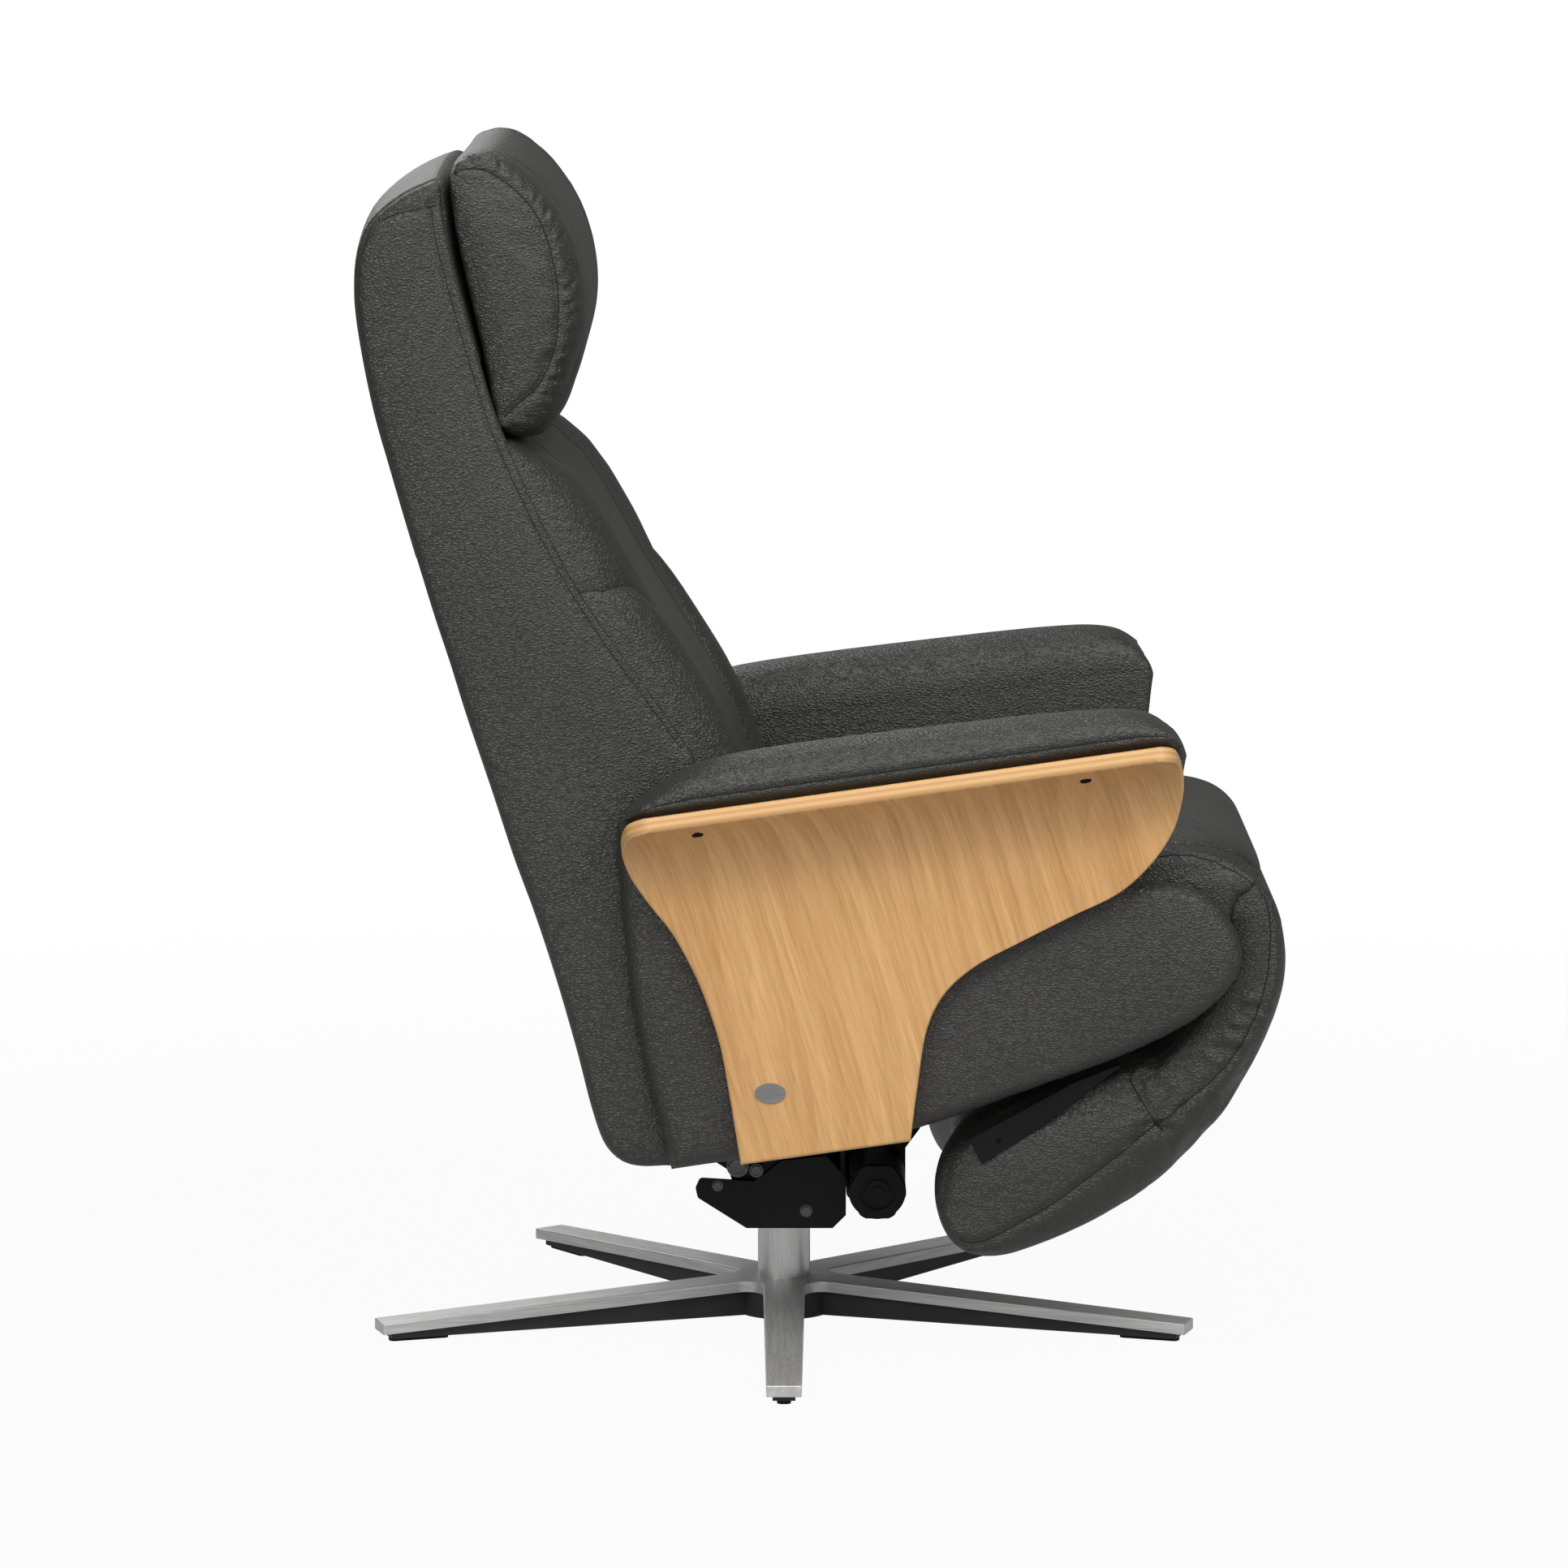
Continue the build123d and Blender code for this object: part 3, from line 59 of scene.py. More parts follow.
MM = 0.001
ARM_HEIGHT = 530.0
SLOPE = math.radians(8.0)
TINY = 1e-9
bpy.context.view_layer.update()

log = logging.getLogger("recliner")
Array = np.ndarray
Keys = Sequence[Tuple[float, float]]
Triple = Tuple[float, float, float]
Faces = List[List[int]]
Mesh = bpy.types.Mesh
Piece = bpy.types.Object
Material = bpy.types.Material
Socket = bpy.types.NodeSocket


class Side(Enum):
    """The sitter's right or left, as the sign of Y."""

    RIGHT = -1.0
    LEFT = 1.0


class Body(str, Enum):
    """Moving groups that pieces ride on."""

    SEAT = "seat"
    BACK = "back"
    HEADREST = "headrest"
    CALF = "calf_rest"
    FOOT = "foot_rest"
    CHASSIS = "chassis"


# Curves and surfaces


def catmull(keys: Keys, per_key: int, closed: bool) -> Array:
    """Curve through the keys: each span is the cubic whose slope at a key joins its two neighbours.

    Args:
        keys: Points to pass through.
        per_key: Number of samples in each span.
        closed: Whether the last key joins the first.

    Returns:
        The samples, one row each.
    """
    points = np.asarray(keys, float)
    count = len(points)
    spans = count if closed else count - 1
    t = np.arange(spans * per_key + (0 if closed else 1)) / per_key
    i = np.minimum(t.astype(int), spans - 1)
    f = (t - i)[:, None]
    pick = (lambda k: points[k % count]) if closed else (lambda k: points[np.clip(k, 0, count - 1)])
    a, b, c, d = pick(i - 1), pick(i), pick(i + 1), pick(i + 2)
    return 0.5 * (2 * b + (c - a) * f + (2 * a - 5 * b + 4 * c - d) * f**2 + (3 * b - a - 3 * c + d) * f**3)


def arc_lengths(path: Array) -> Array:
    """Length along a path at each of its points."""
    return np.concatenate([[0.0], np.cumsum(np.linalg.norm(np.diff(path, axis=0), axis=1))])


def even(path: Array, count: int, shares: Optional[Array] = None) -> Array:
    """The path sampled again, at equal steps of its length or at given shares of it.

    Args:
        path: Points of the path.
        count: Number of samples when shares is not given.
        shares: Places from 0 to 1 along the length.

    Returns:
        The new samples.
    """
    lengths = arc_lengths(path)
    at = (np.linspace(0, 1, count) if shares is None else np.asarray(shares)) * lengths[-1]
    return np.stack([np.interp(at, lengths, path[:, k]) for k in range(path.shape[1])], axis=1)


def curve(keys: Keys, count: int) -> Array:
    """Open smooth curve through the keys, at equal steps."""
    return even(catmull(keys, 16, False), count)


def eased(count: int) -> Array:
    """Shares from 0 to 1 that crowd towards both ends, as the projection of a half circle."""
    return 0.5 - 0.5 * np.cos(np.linspace(0, math.pi, count))


def smooth(t: Array) -> Array:
    """Rise from 0 to 1 with level ends."""
    t = np.clip(t, 0.0, 1.0)
    return t * t * (3 - 2 * t)


def grid_quads(rows: int, cols: int, wrap: bool = False) -> Array:
    """Quads of a grid of points stored row by row.

    Args:
        rows: Number of rows.
        cols: Number of points in a row.
        wrap: Whether each row closes on itself.

    Returns:
        Four point indices for each quad.
    """
    r = np.arange(rows - 1)[:, None] * cols
    c = np.arange(cols if wrap else cols - 1)[None, :]
    n = (c + 1) % cols
    return np.stack([r + c, r + n, r + cols + n, r + cols + c], axis=-1).reshape(-1, 4)


def closed_faces(rows: int, cols: int) -> Faces:
    """Faces over closed rings, each end closed by one face."""
    last = (rows - 1) * cols
    return [*grid_quads(rows, cols, True).tolist(), list(range(cols)), list(range(last, last + cols))]


def side_to_chair(u: Array, w: Array) -> Tuple[Array, Array]:
    """X and height of a place u along the arm's slope and w square to it, from the arm's datum."""
    return (u * math.cos(SLOPE) - w * math.sin(SLOPE), ARM_HEIGHT + u * math.sin(SLOPE) + w * math.cos(SLOPE))


def chair_to_side(x: Array, z: Array) -> Tuple[Array, Array]:
    """Place along the arm's slope and square to it, from X and height."""
    z = z - ARM_HEIGHT
    return x * math.cos(SLOPE) + z * math.sin(SLOPE), z * math.cos(SLOPE) - x * math.sin(SLOPE)


def unit(rows: Array) -> Array:
    """Each row at length 1."""
    return rows / (np.linalg.norm(rows, axis=1, keepdims=True) + TINY)


def tidy_normals(mesh: Mesh) -> None:
    """Merge doubled points and turn every face outwards.

    Args:
        mesh: Mesh to work on.
    """
    work = bmesh.new()
    work.from_mesh(mesh)
    bmesh.ops.remove_doubles(work, verts=work.verts, dist=1e-6)
    bmesh.ops.recalc_face_normals(work, faces=work.faces)
    work.to_mesh(mesh)
    work.free()


def make_piece(name: str, points: Array, faces: Faces) -> Piece:
    """A smooth-shaded mesh object at the origin.

    Args:
        name: Name of the piece.
        points: Places in millimetres.
        faces: Point indices of each face.

    Returns:
        The linked object.
    """
    mesh = bpy.data.meshes.new(name)
    mesh.from_pydata((np.asarray(points) * MM).tolist(), [], faces)
    tidy_normals(mesh)
    mesh.shade_smooth()
    piece = bpy.data.objects.new(name, mesh)
    bpy.context.scene.collection.objects.link(piece)
    return piece


def loft(name: str, rings: Array) -> Piece:
    """Skin over closed rings, each end closed by one face."""
    return make_piece(name, rings.reshape(-1, 3), closed_faces(*rings.shape[:2]))


def slab(name: str, outer: Array, inner: Array) -> Piece:
    """Closed slab between two grids of the same size, joined round their edges.

    Args:
        name: Name of the piece.
        outer: Grid of the outer face, rows by columns by 3.
        inner: Grid of the inner face.

    Returns:
        The linked object.
    """
    rows, cols = outer.shape[:2]
    count = rows * cols
    quads = grid_quads(rows, cols)
    index = np.arange(count).reshape(rows, cols)
    rim = np.concatenate([index[0, :], index[1:, -1], index[-1, -2::-1], index[-2:0:-1, 0]])
    after = np.roll(rim, -1)
    walls = np.stack([rim, after, after + count, rim + count], axis=1)
    faces = np.concatenate([quads, quads[:, ::-1] + count, walls]).tolist()
    return make_piece(name, np.concatenate([outer.reshape(-1, 3), inner.reshape(-1, 3)]), faces)


def side_slab(name: str, side: Side, flat: Array, y: Array, inner_y: float) -> Piece:
    """Upright slab at one side of the chair, with a shaped outer face and a flat inner face.

    Args:
        name: Name of the piece.
        side: Side of the chair.
        flat: Grid of places in side view.
        y: Distance of the outer face from the chair's middle, at each place.
        inner_y: Distance of the inner face.

    Returns:
        The linked object.
    """
    outer = np.stack([flat[..., 0], side.value * y.reshape(flat.shape[:2]), flat[..., 1]], axis=-1)
    inner = outer.copy()
    inner[..., 1] = side.value * inner_y
    return slab(name, outer, inner)


def nearest_on(points: Array, path: Array) -> Tuple[Array, Array]:
    """Nearest sample of a path to each point.

    Args:
        points: The points.
        path: Samples of the path.

    Returns:
        Distance to the nearest sample, and its index.
    """
    square = (points**2).sum(1)[:, None] + (path**2).sum(1)[None] - 2 * points @ path.T
    index = square.argmin(1)
    return np.sqrt(np.maximum(square[np.arange(len(points)), index], 0)), index


def rounded_drop(distance: Array, radius: float) -> Array:
    """How far a rounded rim falls below its face, at a distance in from the edge: a quarter circle."""
    near = 1 - np.clip(distance / radius, 0, 1)
    return radius * (1 - np.sqrt(np.maximum(1 - near**2, 0)))


def fall(distance: Array, depth: float, reach: float) -> Array:
    """How far a face falls towards its edge: a quarter ellipse of a depth over a reach."""
    return depth * rounded_drop(distance, reach) / reach


def tube_mesh(path: Array, normals: Array, radius: float, sides: int = 6) -> Tuple[Array, Faces]:
    """Thin round tube along a path on a skin.

    Args:
        path: Middle of the tube.
        normals: The skin's normals along it.
        radius: Radius of the tube.
        sides: Number of its sides.

    Returns:
        Its points and its faces.
    """
    along = unit(np.gradient(path, axis=0))
    across = unit(np.cross(along, normals))
    up = np.cross(across, along)
    turn = np.linspace(0, 2 * math.pi, sides, endpoint=False)[None, :, None]
    ring = path[:, None] + radius * (np.cos(turn) * across[:, None] + np.sin(turn) * up[:, None])
    return ring.reshape(-1, 3), closed_faces(len(path), sides)


def joined(groups: Sequence[Tuple[Array, Faces]]) -> Tuple[Array, Faces]:
    """Several meshes as one.

    Args:
        groups: Points and faces of each.

    Returns:
        Points and faces of all.
    """
    points, faces, start = [], [], 0
    for some, quads in groups:
        points.append(some)
        faces.extend([[i + start for i in quad] for quad in quads])
        start += len(some)
    return np.concatenate(points), faces


# Finishes


class Nodes:
    """Small helper that adds and joins shader nodes."""

    def __init__(self, name: str) -> None:
        """Start a material with a principled shader."""
        self.material = bpy.data.materials.new(name)
        self.material.use_nodes = True
        self.tree = self.material.node_tree
        self.shader = self.tree.nodes["Principled BSDF"]

    def add(self, kind: str, **values: object) -> bpy.types.Node:
        """Add a node and set its properties, or the default values of its inputs.

        Args:
            kind: Blender's name of the node.
            values: Property names, or names of inputs with underscores for spaces.

        Returns:
            The new node.
        """
        node = self.tree.nodes.new(kind)
        for key, value in values.items():
            if hasattr(node, key):
                setattr(node, key, value)
            else:
                node.inputs[key.replace("_", " ")].default_value = value
        return node

    def join(self, source: Socket, target: Socket) -> None:
        """Link an output to an input."""
        self.tree.links.new(source, target)

    def place(self) -> Socket:
        """Places in the object's own frame."""
        return self.add("ShaderNodeTexCoord").outputs["Object"]

    def drawn(self, vector: Socket, scale: Triple, turn: float = 0.0) -> Socket:
        """Places stretched by a scale and turned about Z.

        Args:
            vector: The places.
            scale: Factor along each axis.
            turn: Angle in radians.

        Returns:
            The new places.
        """
        node = self.add("ShaderNodeMapping", Scale=scale, Rotation=(0.0, 0.0, turn))
        self.join(vector, node.inputs["Vector"])
        return node.outputs["Vector"]

    def noise(self, vector: Socket, scale: float, detail: float, output: str = "Fac", **values: float) -> Socket:
        """Noise over places.

        Args:
            vector: The places.
            scale: Number of swells in a metre.
            detail: Octaves of finer noise.
            output: Output to give back.
            values: Other inputs of the node.

        Returns:
            The output.
        """
        node = self.add("ShaderNodeTexNoise", Scale=scale, Detail=detail, **values)
        self.join(vector, node.inputs["Vector"])
        return node.outputs[output]

    def ramp(self, factor: Socket, stops: Sequence[Tuple[float, Triple]]) -> Socket:
        """Colour ramp over a factor.

        Args:
            factor: The factor.
            stops: Place and colour of each stop.

        Returns:
            The colour.
        """
        node = self.add("ShaderNodeValToRGB")
        elements = node.color_ramp.elements
        for element, (place, colour) in zip(elements, stops):
            element.position = place
            element.color = (*colour, 1.0)
        self.join(factor, node.inputs["Fac"])
        return node.outputs["Color"]

    def span(self, factor: Socket, low: float, high: float) -> Socket:
        """Factor from 0 to 1 carried to a range.

        Args:
            factor: The factor.
            low: Value at 0.
            high: Value at 1.

        Returns:
            The value.
        """
        node = self.add("ShaderNodeMapRange", To_Min=low, To_Max=high)
        self.join(factor, node.inputs["Value"])
        return node.outputs["Result"]

    def math(self, operation: str, first: object, second: object = None) -> Socket:
        """Function of one or two values or sockets.

        Args:
            operation: Blender's name of the function.
            first: First value or socket.
            second: Second value or socket, if the function has one.

        Returns:
            The result.
        """
        node = self.add("ShaderNodeMath", operation=operation)
        for slot, value in zip(node.inputs, (first, second)):
            if isinstance(value, Socket):
                self.join(value, slot)
            elif value is not None:
                slot.default_value = value
        return node.outputs["Value"]

    def total(self, *terms: Tuple[Socket, float]) -> Socket:
        """Sum of sockets, each times its weight."""
        parts = [self.math("MULTIPLY", socket, weight) for socket, weight in terms]
        return functools.reduce(lambda first, second: self.math("ADD", first, second), parts)

    def blend(self, factor: Socket, first: Socket, second: Socket) -> Socket:
        """Mix of two shaders.

        Args:
            factor: Share of the second.
            first: First shader.
            second: Second shader.

        Returns:
            The mixed shader.
        """
        node = self.add("ShaderNodeMixShader")
        for slot, socket in zip(node.inputs, (factor, first, second)):
            self.join(socket, slot)
        return node.outputs["Shader"]

    def bump(self, height: Socket, strength: float, distance: float) -> None:
        """Bump the shader's surface.

        Args:
            height: Height of the surface.
            strength: Share of the bump.
            distance: Height in metres of a height of 1.
        """
        node = self.add("ShaderNodeBump", Strength=strength, Distance=distance)
        self.join(height, node.inputs["Height"])
        self.join(node.outputs["Normal"], self.shader.inputs["Normal"])

    def feed(self, **sockets: Socket) -> None:
        """Link sockets to the shader's inputs, named with underscores for spaces."""
        for key, socket in sockets.items():
            self.join(socket, self.shader.inputs[key.replace("_", " ")])

    def set(self, **values: object) -> None:
        """Set constants on the shader's own sockets."""
        for key, value in values.items():
            self.shader.inputs[key.replace("_", " ")].default_value = value


def shade(colour: Triple, share: float) -> Triple:
    """A colour made darker or lighter by a factor."""
    return tuple(share * c for c in colour)


@dataclass(frozen=True)
class Leather:
    """Charcoal leather with a fine pebble grain and a soft sheen."""

    name: str = "charcoal_leather"
    colour: Triple = (0.031, 0.0300, 0.0236)
    shades: Tuple[float, float] = (0.62, 1.2)
    stretch: Triple = (0.5, 0.62, 1.0)
    pebble: float = 430.0
    warp: float = 160.0
    warp_share: float = 0.006
    border: float = 2.6
    fine: float = 900.0
    slow: float = 7.0
    depth: float = 0.0007
    rough: Tuple[float, float] = (0.47, 0.37)

    def material(self) -> Material:
        """Pebbles from cell borders bent by noise, fine pores, slow changes of tone, and painted shade in the
        grooves between pebbles.
        """
        n = Nodes(self.name)
        where = n.place()
        long = n.drawn(where, self.stretch)
        bend = n.add("ShaderNodeMix", data_type="VECTOR")
        bend.inputs["Factor"].default_value = self.warp_share
        n.join(long, bend.inputs[4])
        n.join(n.noise(long, self.warp, 2.0, "Color"), bend.inputs[5])
        cells = n.add("ShaderNodeTexVoronoi", feature="DISTANCE_TO_EDGE", Scale=self.pebble)
        n.join(bend.outputs[1], cells.inputs["Vector"])
        border = n.math("MINIMUM", n.math("MULTIPLY", cells.outputs["Distance"], self.border), 1.0)
        height = n.math("ADD", border, n.math("MULTIPLY", n.noise(where, self.fine, 3.0), 0.2))
        slow = n.noise(where, self.slow, 3.0)
        dark, light = (shade(self.colour, share) for share in self.shades)
        # The tone darkens where border is low, in the grain's grooves: painted shade. The slow noise is the
        # leather's own uneven tone.
        tone = n.ramp(n.total((slow, 0.55), (border, 0.45)), ((0.25, dark), (0.78, light)))
        n.feed(Base_Color=tone, Roughness=n.span(slow, *self.rough))
        n.bump(height, 0.8, self.depth)
        n.set(Specular_IOR_Level=0.7, Sheen_Weight=0.03, Sheen_Roughness=0.45)
        return n.material


@dataclass(frozen=True)
class BentWood:
    """Clear-lacquered wood whose grain runs up the panel, with a layered plywood edge."""

    name: str = "bent_wood"
    light: Triple = (0.92, 0.551, 0.246)
    dark: Triple = (0.60, 0.305, 0.102)
    edge_light: Triple = (0.80, 0.474, 0.20)
    edge_dark: Triple = (0.67, 0.367, 0.141)
    lean: float = math.radians(-9)
    long: Triple = (1.0, 0.2, 1.0)
    pore: Triple = (1.0, 0.035, 1.0)
    streak: Triple = (1.0, 0.04, 1.0)
    rings: float = 84.0
    plies: float = 5.0
    rough: Tuple[float, float] = (0.34, 0.48)

    def face(self, n: Nodes) -> Tuple[Socket, Socket, Socket]:
        """Growth rings as bands across the sheet's own map, bent by slow noise, with long fine pores.

        Args:
            n: Nodes of the material.

        Returns:
            Colour of the face, profile of the rings, and the pores.
        """
        sheet = n.drawn(n.add("ShaderNodeUVMap", uv_map="sheet").outputs["UV"], (1.0, 1.0, 1.0), self.lean)
        long = n.drawn(sheet, self.long)
        across = n.add("ShaderNodeSeparateXYZ")
        n.join(sheet, across.inputs["Vector"])
        drift = n.noise(long, 6.0, 2.0, Roughness=0.45)
        place = n.total((across.outputs["X"], self.rings), (drift, 16.0), (n.noise(sheet, 60.0, 2.0), 0.35))
        soft = n.math("POWER", n.math("FRACT", place), 1.6)
        pores = n.noise(n.drawn(sheet, self.pore), 900.0, 2.0)
        streaks = n.noise(n.drawn(sheet, self.streak), 210.0, 4.0, Roughness=0.65)
        cloud = n.noise(long, 5.0, 2.0)
        wave = n.math("SINE", n.math("MULTIPLY", place, 2.2))
        plume = n.math("ADD", n.math("MULTIPLY", wave, 0.5), 0.5)
        tone = n.total((soft, 0.10), (pores, 0.34), (streaks, 0.62), (cloud, 0.34), (plume, 0.12))
        return n.ramp(tone, ((0.52, self.light), (1.0, self.dark))), soft, pores

    def material(self) -> Material:
        """Grain on the faces and layers on the edges, told apart by the panel's attributes."""
        n = Nodes(self.name)
        face, soft, pores = self.face(n)
        depth = n.add("ShaderNodeAttribute", attribute_name="ply_depth").outputs["Fac"]
        layer = n.math("PINGPONG", n.math("MULTIPLY", depth, self.plies), 1.0)
        layers = n.ramp(layer, ((0.35, self.edge_light), (0.75, self.edge_dark)))
        mix = n.add("ShaderNodeMix", data_type="RGBA")
        n.join(n.add("ShaderNodeAttribute", attribute_name="ply_edge").outputs["Fac"], mix.inputs["Factor"])
        n.join(face, mix.inputs[6])
        n.join(layers, mix.inputs[7])
        n.feed(Base_Color=mix.outputs[2], Roughness=n.span(pores, *self.rough))
        n.bump(n.math("ADD", n.math("MULTIPLY", soft, 0.5), pores), 0.12, 0.0004)
        n.set(Specular_IOR_Level=0.42, Coat_Weight=0.12, Coat_Roughness=0.35)
        return n.material


@dataclass(frozen=True)
class BrushedStar:
    """Aluminium brushed along each leg of the star."""

    name: str = "brushed_star"
    legs: int = 5
    dark: Triple = (0.55, 0.55, 0.545)
    light: Triple = (0.93, 0.93, 0.92)
    draw: float = 0.02
    leg_shift: float = 0.37
    rough: Tuple[float, float] = (0.42, 0.60)

    def material(self) -> Material:
        """Streaks in each leg's own frame: the angle about the column picks the leg, then turns the pattern."""
        n = Nodes(self.name)
        where = n.add("ShaderNodeSeparateXYZ")
        n.join(n.place(), where.inputs["Vector"])
        x, y = where.outputs["X"], where.outputs["Y"]
        angle = n.math("ADD", n.math("ARCTAN2", y, x), math.pi / 2)
        step = 2 * math.pi / self.legs
        leg = n.math("ROUND", n.math("DIVIDE", angle, step))
        off = n.math("SUBTRACT", angle, n.math("MULTIPLY", leg, step))
        reach = n.math("SQRT", n.math("ADD", n.math("MULTIPLY", x, x), n.math("MULTIPLY", y, y)))
        along = n.math("MULTIPLY", reach, n.math("COSINE", off))
        brushed = n.add("ShaderNodeCombineXYZ")
        n.join(n.math("MULTIPLY", along, self.draw), brushed.inputs["X"])
        n.join(n.math("MULTIPLY", reach, n.math("SINE", off)), brushed.inputs["Y"])
        n.join(n.math("ADD", where.outputs["Z"], n.math("MULTIPLY", leg, self.leg_shift)), brushed.inputs["Z"])
        streak = n.noise(brushed.outputs["Vector"], 1500.0, 3.0)
        broad = n.noise(brushed.outputs["Vector"], 190.0, 2.0)
        tone = n.ramp(n.total((streak, 0.6), (broad, 0.4)), ((0.3, self.dark), (0.72, self.light)))
        n.feed(Base_Color=tone, Roughness=n.span(streak, *self.rough))
        n.bump(streak, 0.12, 0.0002)
        n.set(Metallic=0.72)
        return n.material


@dataclass(frozen=True)
class BrushedMetal:
    """Steel or aluminium brushed in one direction."""

    name: str
    colour: Triple
    stretch: Triple = (1.0, 1.0, 0.03)
    rough: Tuple[float, float] = (0.26, 0.42)
    streaks: float = 1400.0

    def material(self) -> Material:
        """Noise drawn out along the brushing."""
        n = Nodes(self.name)
        streak = n.noise(n.drawn(n.place(), self.stretch), self.streaks, 3.0)
        tone = n.ramp(streak, ((0.3, shade(self.colour, 0.78)), (0.7, self.colour)))
        n.feed(Base_Color=tone, Roughness=n.span(streak, *self.rough))
        n.bump(streak, 0.1, 0.0002)
        n.set(Metallic=1.0)
        return n.material


@dataclass(frozen=True)
class Coated:
    """Painted metal or moulded plastic with a fine orange-peel texture."""

    name: str
    colour: Triple
    rough: Tuple[float, float] = (0.36, 0.5)
    texture: float = 700.0
    depth: float = 0.0002
    gloss: float = 0.4
    slow: float = 14.0

    def material(self) -> Material:
        """Fine noise for the surface, and a slow change of tone."""
        n = Nodes(self.name)
        where = n.place()
        slow = n.noise(where, self.slow, 3.0)
        tone = n.ramp(slow, ((0.3, shade(self.colour, 0.8)), (0.7, shade(self.colour, 1.25))))
        n.feed(Base_Color=tone, Roughness=n.span(slow, *self.rough))
        n.bump(n.noise(where, self.texture, 2.0), 0.15, self.depth)
        n.set(Specular_IOR_Level=self.gloss)
        return n.material


@dataclass(frozen=True)
class Webbing:
    """Woven elastic strap."""

    name: str = "woven_strap"
    colour: Triple = (0.03, 0.03, 0.03)
    threads: float = 160.0

    def material(self) -> Material:
        """Two sets of threads that cross at right angles."""
        n = Nodes(self.name)
        where = n.place()
        sets = [n.add("ShaderNodeTexWave", bands_direction=axis, Scale=self.threads) for axis in "YX"]
        for thread in sets:
            n.join(where, thread.inputs["Vector"])
        weave = n.math("MAXIMUM", *(thread.outputs["Fac"] for thread in sets))
        n.feed(Base_Color=n.ramp(weave, ((0.1, shade(self.colour, 0.5)), (0.9, self.colour))))
        n.bump(weave, 0.4, 0.0006)
        n.set(Roughness=0.9)
        return n.material


class Finishes:
    """All finishes of the chair, each made once."""

    def __init__(self) -> None:
        """Make the materials and match them to the record's slots."""
        self.leather = Leather().material()
        self.wood = BentWood().material()
        # Near-black finish of the tubes in seam valleys, of the lumbar's panel-edge tubes and of the screw-hole
        # walls: painted shade.
        self.seam = Coated("seam_shadow", (0.012, 0.012, 0.011), (0.7, 0.85), 900.0).material()
        self.thread = Coated("leather_thread", (0.026, 0.027, 0.025), (0.5, 0.62), 1800.0).material()
        self.bolt = BrushedMetal("zinc_bolt", (0.16, 0.16, 0.17), (1.0, 1.0, 1.0), (0.35, 0.5)).material()
        black = Coated("black_paint", (0.0075, 0.0075, 0.0078), (0.34, 0.46), gloss=0.22).material()
        plastic = Coated("black_plastic", (0.006, 0.006, 0.0065), (0.46, 0.6), 1100.0, 0.0004, 0.25).material()
        self.slots: Dict[str, Material] = {
            "leather": self.leather,
            "bent_wood": self.wood,
            "brushed_aluminium": BrushedStar().material(),
            "dark_web": Coated("grey_cast_web", (0.035, 0.036, 0.037), (0.45, 0.6), 420.0, 0.0006).material(),
            "glide_plastic": plastic,
            "brushed_column": BrushedMetal("brushed_column", (0.85, 0.85, 0.845)).material(),
            "bush_plastic": plastic,
            "bright_steel": BrushedMetal("bright_steel", (0.6, 0.6, 0.6), (1.0, 0.05, 1.0)).material(),
            "black_steel": black,
            "black_motor": black,
            "black_plastic": plastic,
            "drive_tube": BrushedMetal("drive_tube", (0.5, 0.5, 0.5), (0.05, 1.0, 1.0)).material(),
            "webbing": Webbing().material(),
            "badge_metal": BrushedMetal(
                "badge_metal", (0.56, 0.55, 0.53), (0.04, 1.0, 1.0), (0.24, 0.36)).material(),
            "button_plastic": Coated("button_plastic", (0.03, 0.03, 0.032), (0.4, 0.5), 1500.0).material(),
        }

    def dress_frame(self) -> None:
        """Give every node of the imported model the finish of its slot."""
        for part in frame["record"]["subparts"]:
            mesh = frame["nodes"][part["node"]].data
            mesh.materials.clear()
            mesh.materials.append(self.slots[part["material_slot"]])


# Upholstery


@dataclass(frozen=True)
class Stuffing:
    """How a padded piece is filled.

    Attributes:
        voxel: Size of its even mesh, in millimetres.
        cap: Furthest that the filling may push the skin, in millimetres.
        relax: Rounds of smoothing before the filling.
        pressure: Pressure of the filling.
        mass: Mass of each point of the skin, in kilograms.
        quality: Steps of the simulation in a frame.
        frames: Length of the simulation.
    """

    voxel: float
    cap: float
    relax: int = 4
    pressure: float = 4.0
    mass: float = 0.3
    quality: int = 4
    frames: int = 20


def mesh_points(mesh: Mesh) -> Array:
    """Places of a mesh's points.

    Args:
        mesh: The mesh.

    Returns:
        The places in millimetres.
    """
    flat = np.empty(len(mesh.vertices) * 3, np.float32)
    mesh.vertices.foreach_get("co", flat)
    return flat.reshape(-1, 3).astype(float) / MM


def write_points(mesh: Mesh, points: Array) -> None:
    """Store places given in millimetres."""
    mesh.vertices.foreach_set("co", (points * MM).astype(np.float32).ravel())
    mesh.update()


def apply_modifiers(piece: Piece) -> None:
    """Replace a piece's mesh by what its modifiers make of it.

    Args:
        piece: The piece.
    """
    graph = bpy.context.evaluated_depsgraph_get()
    mesh = bpy.data.meshes.new_from_object(piece.evaluated_get(graph))
    old = piece.data
    piece.modifiers.clear()
    piece.data = mesh
    mesh.name = old.name
    bpy.data.meshes.remove(old)
    mesh.shade_smooth()


def bore(piece: Piece, rings: Array) -> None:
    """Cut the solid inside closed rings out of a piece.

    Args:
        piece: The piece.
        rings: Rings of the tool that cuts.
    """
    drill = loft("drill", rings)
    cut = piece.modifiers.new("hole", "BOOLEAN")
    cut.operation = "DIFFERENCE"
    cut.object = drill
    apply_modifiers(piece)
    bpy.data.meshes.remove(drill.data)


